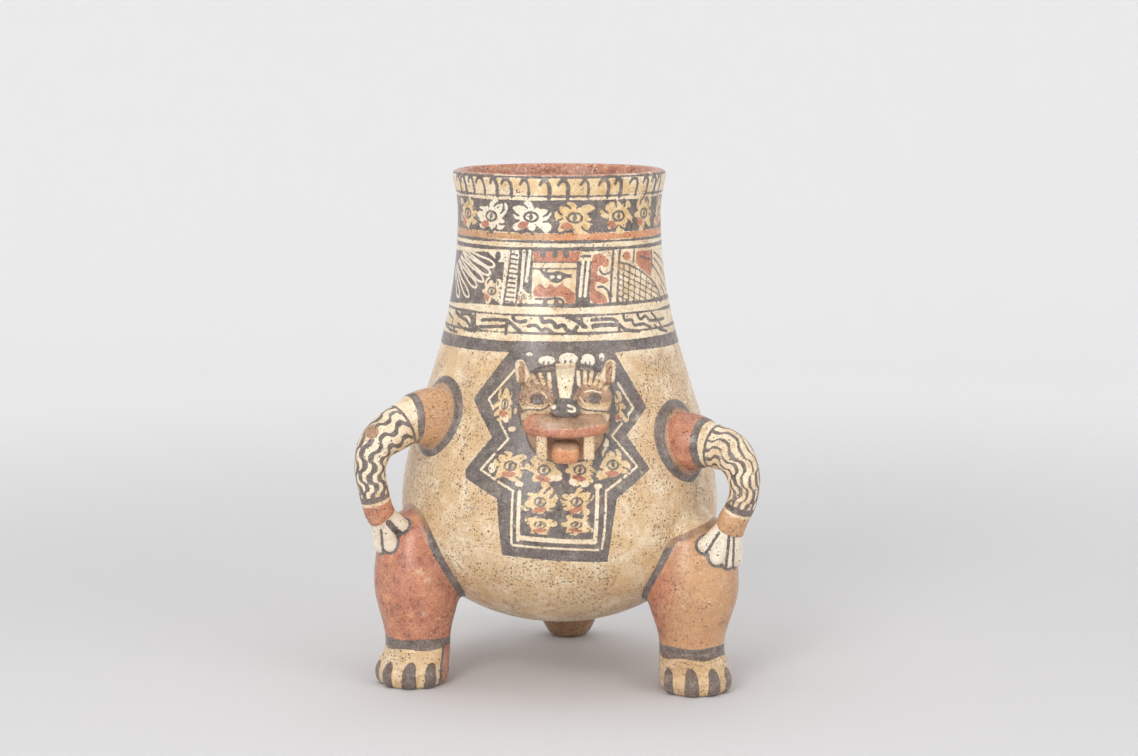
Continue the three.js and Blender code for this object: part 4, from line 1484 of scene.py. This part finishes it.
def paint_jaw(paint, points):
    paint.coat("brown")
    paint.lay("ink", 2 - vessel_here(points))


def paint_tongue(paint, points):
    paint.coat("orange")
    # Brown over the top of the tongue, under the lip's overhang: painted shade.
    paint.lay("brown", 0.4 * (points[:, 2] - TONGUE_MIDDLE - 2.8 + 0.5 * np.sin(points[:, 0] / 2)))


def paint_fang(paint, points):
    paint.age[:] = 0.9


def head_piece(name, field, center, halves, step, paint_with):
    """Piece of the head, in a box about its center."""

    def here(points):
        return field(points - head_seat)

    middle = head_seat + center
    vertices, faces = surface_of(here, middle - halves, middle + halves, step)
    paint = front_paint(vertices)
    paint_with(paint, vertices - head_seat)
    piece(name, vertices, faces, paint)


def head():
    skull = luted(cranium, vessel_here, 3)
    lip = luted(muzzle, cranium, 2.5)
    chin = luted(jaw, vessel_here, 2.5)
    head_piece("head_shell", skull, (0, -6, 2), (33, 28, 31), 0.8, paint_skull)
    head_piece("muzzle", lip, (0, -22, -8), (31, 19, 13), 0.7, paint_muzzle)
    pad = luted(nose, under_nose, 1.5)
    head_piece("nose_pad", pad, NOSE_PLACE, (13, 10, 9), 0.5, paint_nose)
    head_piece("lower_jaw", chin, (0, 0, -11), (31, 29, 28), 0.85, paint_jaw)
    head_piece("tongue", tongue, (0, -16, -27), (12, 19, 9), 0.7, paint_tongue)
    for name, sign in (("left", -1), ("right", 1)):
        mirror = np.array([sign, 1, 1])
        mound = luted(eye(sign), cranium, 8)
        leaf = luted(ear(sign), cranium, 2)
        leaf_middle = mirror * (EAR_ROOT + EAR_TIP) / 2
        fang_middle = mirror * [FANG_PLACE[0], FANG_PLACE[1], -17]
        head_piece(f"eye_{name}", mound, mirror * EYE_PLACE, (18, 13, 16), 0.65, paint_eye)
        head_piece(f"ear_{name}", leaf, leaf_middle, (9, 9, 15), 0.55, paint_ear)
        head_piece(f"fang_{name}", fang(sign), fang_middle, (5, 6, 17), 0.6, paint_fang)


# Materials

# Grain in millimetres, detail and roughness of the noises
NOISES = {
    "streak": (7, 6, 0.66),
    "blend": (26, 5, 0.62),
    "grain": (1.1, 3, 0.65),
    "wear": (10, 5, 0.65),
    "stain": (19, 8, 0.74),
    "smoke": (34, 7, 0.7),
    "dots": (24, 5, 0.6),
    "fleck": (1.6, 4, 0.7),
    "ragged": (1.7, 3, 0.6),
    "clay": (4, 4, 0.55),
    "paper": (3, 3, 0.55),
}


# Levels between which each look of the slips sets in
LEVELS = {
    "thin": (0.35, 0.49),
    "thick": (0.51, 0.67),
    "edge": (-0.2, 0.25),
    "wear": (0.58, 0.74),
    "stain": (0.5, 0.8),
    "smoke": (0.5, 0.68),
    "dots": (0.36, 0.64),
    "fleck": (0.54, 0.65),
    "pit": (-0.02, 0.07),
    "dust": (-0.02, 0.02),
}
# Size in millimetres of the cells that pinholes lie in, and the share of them that may have one
PITS = ((1.3, 0.66), (2.4, 0.58))


class Value:
    """Output of a shader node, to add, take away and multiply."""

    def __init__(self, graph, socket):
        self.graph = graph
        self.socket = socket

    def beside(self, output):
        """Another output of the same node."""
        return Value(self.graph, self.socket.node.outputs[output])

    def __add__(self, other):
        return self.graph.math("ADD", self, other)

    def __sub__(self, other):
        return self.graph.math("SUBTRACT", self, other)

    def __rsub__(self, other):
        return self.graph.math("SUBTRACT", other, self)

    def __mul__(self, other):
        return self.graph.math("MULTIPLY", self, other)


class Graph:
    """Shader nodes of one material."""

    def __init__(self, name):
        self.material = bpy.data.materials.new(name)
        self.material.use_nodes = True
        self.tree = self.material.node_tree
        self.place = self.node("TexCoord", "Object")

    def node(self, kind, output, inputs=None, **settings):
        made = self.tree.nodes.new(f"ShaderNode{kind}")
        for key, value in settings.items():
            setattr(made, key, value)
        self.join(made, inputs or {})
        return Value(self, made.outputs[output])

    def join(self, node, inputs):
        for key, value in inputs.items():
            if isinstance(value, Value):
                self.tree.links.new(value.socket, node.inputs[key])
            else:
                node.inputs[key].default_value = value

    def finished(self, inputs):
        """The material, with its surface made of the given inputs."""
        self.join(self.tree.nodes["Principled BSDF"], inputs)
        return self.material

    def math(self, operation, first, second=0.0, clamp=False):
        return self.node("Math", 0, {0: first, 1: second}, operation=operation, use_clamp=clamp)

    def mix(self, share, under, over):
        return self.node("Mix", 2, {"Factor": share, 6: under, 7: over}, data_type="RGBA")

    def noise(self, kind):
        grain, detail, rough = NOISES[kind]
        inputs = {"Vector": self.place, "Scale": 1 / (grain * MM), "Detail": detail, "Roughness": rough}
        return self.node("TexNoise", "Fac", inputs)

    def look(self, name, value):
        """How far a look of the slips has set in."""
        return self.rise(value, *LEVELS[name])

    def rise(self, value, low, high):
        """Share of the way from low to high, eased."""
        inputs = {"Value": value, "From Min": low, "From Max": high}
        return self.node("MapRange", "Result", inputs, interpolation_type="SMOOTHSTEP")

    def attribute(self, name):
        return self.node("Attribute", "Fac", attribute_name=name)

    def pits(self, grain, crowd, share):
        """Dark round pinholes in up to a share of the cells of that size, more where they crowd."""
        away = self.node("TexVoronoi", "Distance", {"Vector": self.place, "Scale": 1 / (grain * MM)})
        chance = self.node("SeparateColor", 0, {0: away.beside("Color")})
        there = self.math("GREATER_THAN", chance, 1.0 - crowd * share)
        size = chance.beside(1) * 0.17 + 0.15
        return self.look("pit", there * size - away)

    def bump(self, height, strength, distance, **under):
        inputs = {"Strength": strength, "Distance": distance * MM, "Height": height, **under}
        return self.node("Bump", "Normal", inputs)


def linear(color):
    """sRGB bytes as linear colour."""
    shares = np.array(color) / 255
    return (*np.where(shares <= 0.04045, shares / 12.92, ((shares + 0.055) / 1.055) ** 2.4), 1.0)


def mottled(graph, slip, cloud):
    """A slip that lies thin in some places and thick in others."""
    thin, most, thick = map(linear, slip)
    low = graph.mix(graph.look("thin", cloud), thin, most)
    return graph.mix(graph.look("thick", cloud), low, thick)


def dark_dots(graph, age):
    """Pinholes and flecks, in clouds that are denser where the slip is older."""
    cloud = graph.look("dots", graph.noise("dots"))
    crowd = (cloud + 0.12) * (age + 0.35)
    dots = graph.math("MAXIMUM", *[graph.pits(size, crowd, share) for size, share in PITS])
    fleck = graph.look("fleck", graph.noise("fleck")) * crowd
    return graph.math("MAXIMUM", dots, fleck * 0.7)


def slipped_color(graph, streak, wear, stain, smoke):
    """Stained cream under the painted slips, which have ragged edges and are worn in places."""
    blend = graph.noise("blend") * 0.5 + streak * 0.5
    color = graph.mix(stain * 0.66, mottled(graph, CREAM, blend), linear(STAINED))
    color = graph.mix(smoke, color, linear(SMOKE))
    ragged = (graph.noise("ragged") - 0.5) * 1.3
    bare = 1.0 - graph.look("wear", wear) * 0.4
    for name, slip in SLIPS.items():
        edge = graph.look("edge", graph.attribute(name) + ragged)
        body = mottled(graph, slip, streak if name in STREAKED else blend)
        color = graph.mix(edge * bare, color, body)
    return graph.mix(stain * 0.17, color, linear(SOIL))


def painted_material():
    graph = Graph("painted_slip")
    streak = graph.noise("streak")
    grain = graph.noise("grain")
    wear = graph.noise("wear")
    age = graph.attribute("age")
    stain = graph.look("stain", graph.noise("stain") + age * 0.2)
    smoke = graph.look("smoke", graph.noise("smoke")) * (age * 0.34)
    dots = dark_dots(graph, age)
    color = slipped_color(graph, streak, wear, stain, smoke)
    dust = grain - 0.5
    tint = graph.mix(graph.look("dust", dust), linear(PIT), linear(SLIPS["pale"][2]))
    color = graph.mix(graph.math("ABSOLUTE", dust) * 0.9, color, tint)
    color = graph.mix(dots * 0.9, color, linear(PIT))
    soft = graph.bump(streak * 0.8 - dots * 0.5, 0.4, 0.5)
    return graph.finished({
        "Base Color": color,
        "Roughness": wear * 0.26 + 0.14,
        "Normal": graph.bump(grain, 0.2, 0.15, Normal=soft),
        "Specular IOR Level": 0.5,
    })


def clay_material():
    """Bare fired clay of the loose pellets."""
    graph = Graph("bare_clay")
    cloud = graph.noise("clay")
    return graph.finished({
        "Base Color": mottled(graph, SLIPS["clay"], cloud),
        "Roughness": cloud * 0.2 + 0.7,
        "Normal": graph.bump(cloud, 0.4, 0.4),
    })


def pellets(material):
    for name in ("left", "right", "tail"):
        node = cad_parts[f"rattle_pellet_{name}"]
        node.data.materials.clear()
        node.data.materials.append(material)


# Stage, in metres

PAPER_FLOOR = (214, 213, 214)
PAPER_BACK = (236, 235, 236)
PAPER_SHADE = (186, 185, 186)
PAPER_GLOW = 0.1
PAPER_START = 0.4
FLOOR_RADIUS = 1.6
PAPER_BEND = 1.2
PAPER_TOP = 1.5
PAPER_SIDES = 96
LAMP_SIDE = (0.3, 1.3)  # how far forward of the pot the toning starts and is full
LAMP_TARGET = (0, 0, 0.16)
# Name, place, size and power in watts
LAMPS = (
    ("key", (-0.8, -1.95, 0.95), (0.8, 1.8), 24),
    ("fill", (1.7, -1.5, 0.9), (1.4, 1.6), 13),
    ("top", (-0.1, 0.4, 2.3), (1.8, 1.8), 13),
)
SKY = 0.64


def stage():
    """Paper bowl: a floor that curves up into a wall all round."""
    bend = np.linspace(0, math.pi / 2, 24)
    curve = np.stack([FLOOR_RADIUS + PAPER_BEND * np.sin(bend), PAPER_BEND * (1 - np.cos(bend))], 1)
    rows = [(0, 0), (PAPER_START, 0), *curve, (FLOOR_RADIUS + PAPER_BEND, PAPER_TOP), (0, 0)]
    vertices, faces = revolved(rows, np.linspace(0, 2 * math.pi, PAPER_SIDES, endpoint=False))
    mesh = smooth_mesh("sweep", vertices[:-1], [face[::-1] for face in faces[:-PAPER_SIDES]])
    mesh.materials.append(paper_material())
    placed(mesh)


def paper_material():
    """Pale paper, lighter away from the pot, and toned down for the camera on the lamps' side."""
    graph = Graph("paper")
    reach = graph.node("VectorMath", "Value", {0: graph.place}, operation="LENGTH")
    away = graph.rise(reach, PAPER_START, FLOOR_RADIUS)
    paper = graph.mix(away, linear(PAPER_FLOOR), linear(PAPER_BACK))
    paper = graph.mix(graph.noise("paper") * 0.06, paper, linear(PAPER_BACK))
    seen = camera_ray = graph.node("LightPath", "Is Camera Ray")
    for kind in ("Is Glossy Ray", "Is Transmission Ray"):
        seen = graph.math("ADD", seen, camera_ray.beside(kind), clamp=True)
    forward = graph.node("SeparateXYZ", "Y", {0: graph.place})
    lamp_side = graph.rise(forward * -1.0, *LAMP_SIDE)
    return graph.finished({
        "Base Color": graph.mix(seen * lamp_side, paper, linear(PAPER_SHADE)),
        "Emission Color": paper,
        "Emission Strength": seen * (away * PAPER_GLOW),
        "Roughness": 0.9,
        "Specular IOR Level": 0.1,
    })


def lights():
    for name, place, size, power in LAMPS:
        data = bpy.data.lights.new(name, "AREA")
        data.shape = "RECTANGLE"
        data.size, data.size_y = size
        data.energy = power
        made = placed(data)
        made.location = place
        made.rotation_euler = (Vector(LAMP_TARGET) - Vector(place)).to_track_quat("-Z", "Y").to_euler()
    world = bpy.data.worlds.new("studio")
    world.use_nodes = True
    sky = world.node_tree.nodes["Background"].inputs
    sky["Color"].default_value = (1, 1, 1, 1)
    sky["Strength"].default_value = SKY
    bpy.context.scene.world = world


def camera():
    data = bpy.data.cameras.new("camera")
    data.sensor_width = SENSOR_WIDTH
    data.lens = SENSOR_WIDTH * FOCAL_PIXELS / FRAME_WIDTH
    made = placed(data)
    made.location = camera_place * MM
    made.rotation_euler = (math.pi / 2 - CAMERA_PITCH, 0, 0)
    bpy.context.scene.camera = made


painted_slip = painted_material()
vessel()
for side in (LEFT, RIGHT):
    for make in (thigh, foot, collar, boss, forearm, paw):
        make(side)
tail()
head()
pellets(clay_material())
stage()
lights()
camera()
bpy.context.scene.view_settings.view_transform = "Standard"
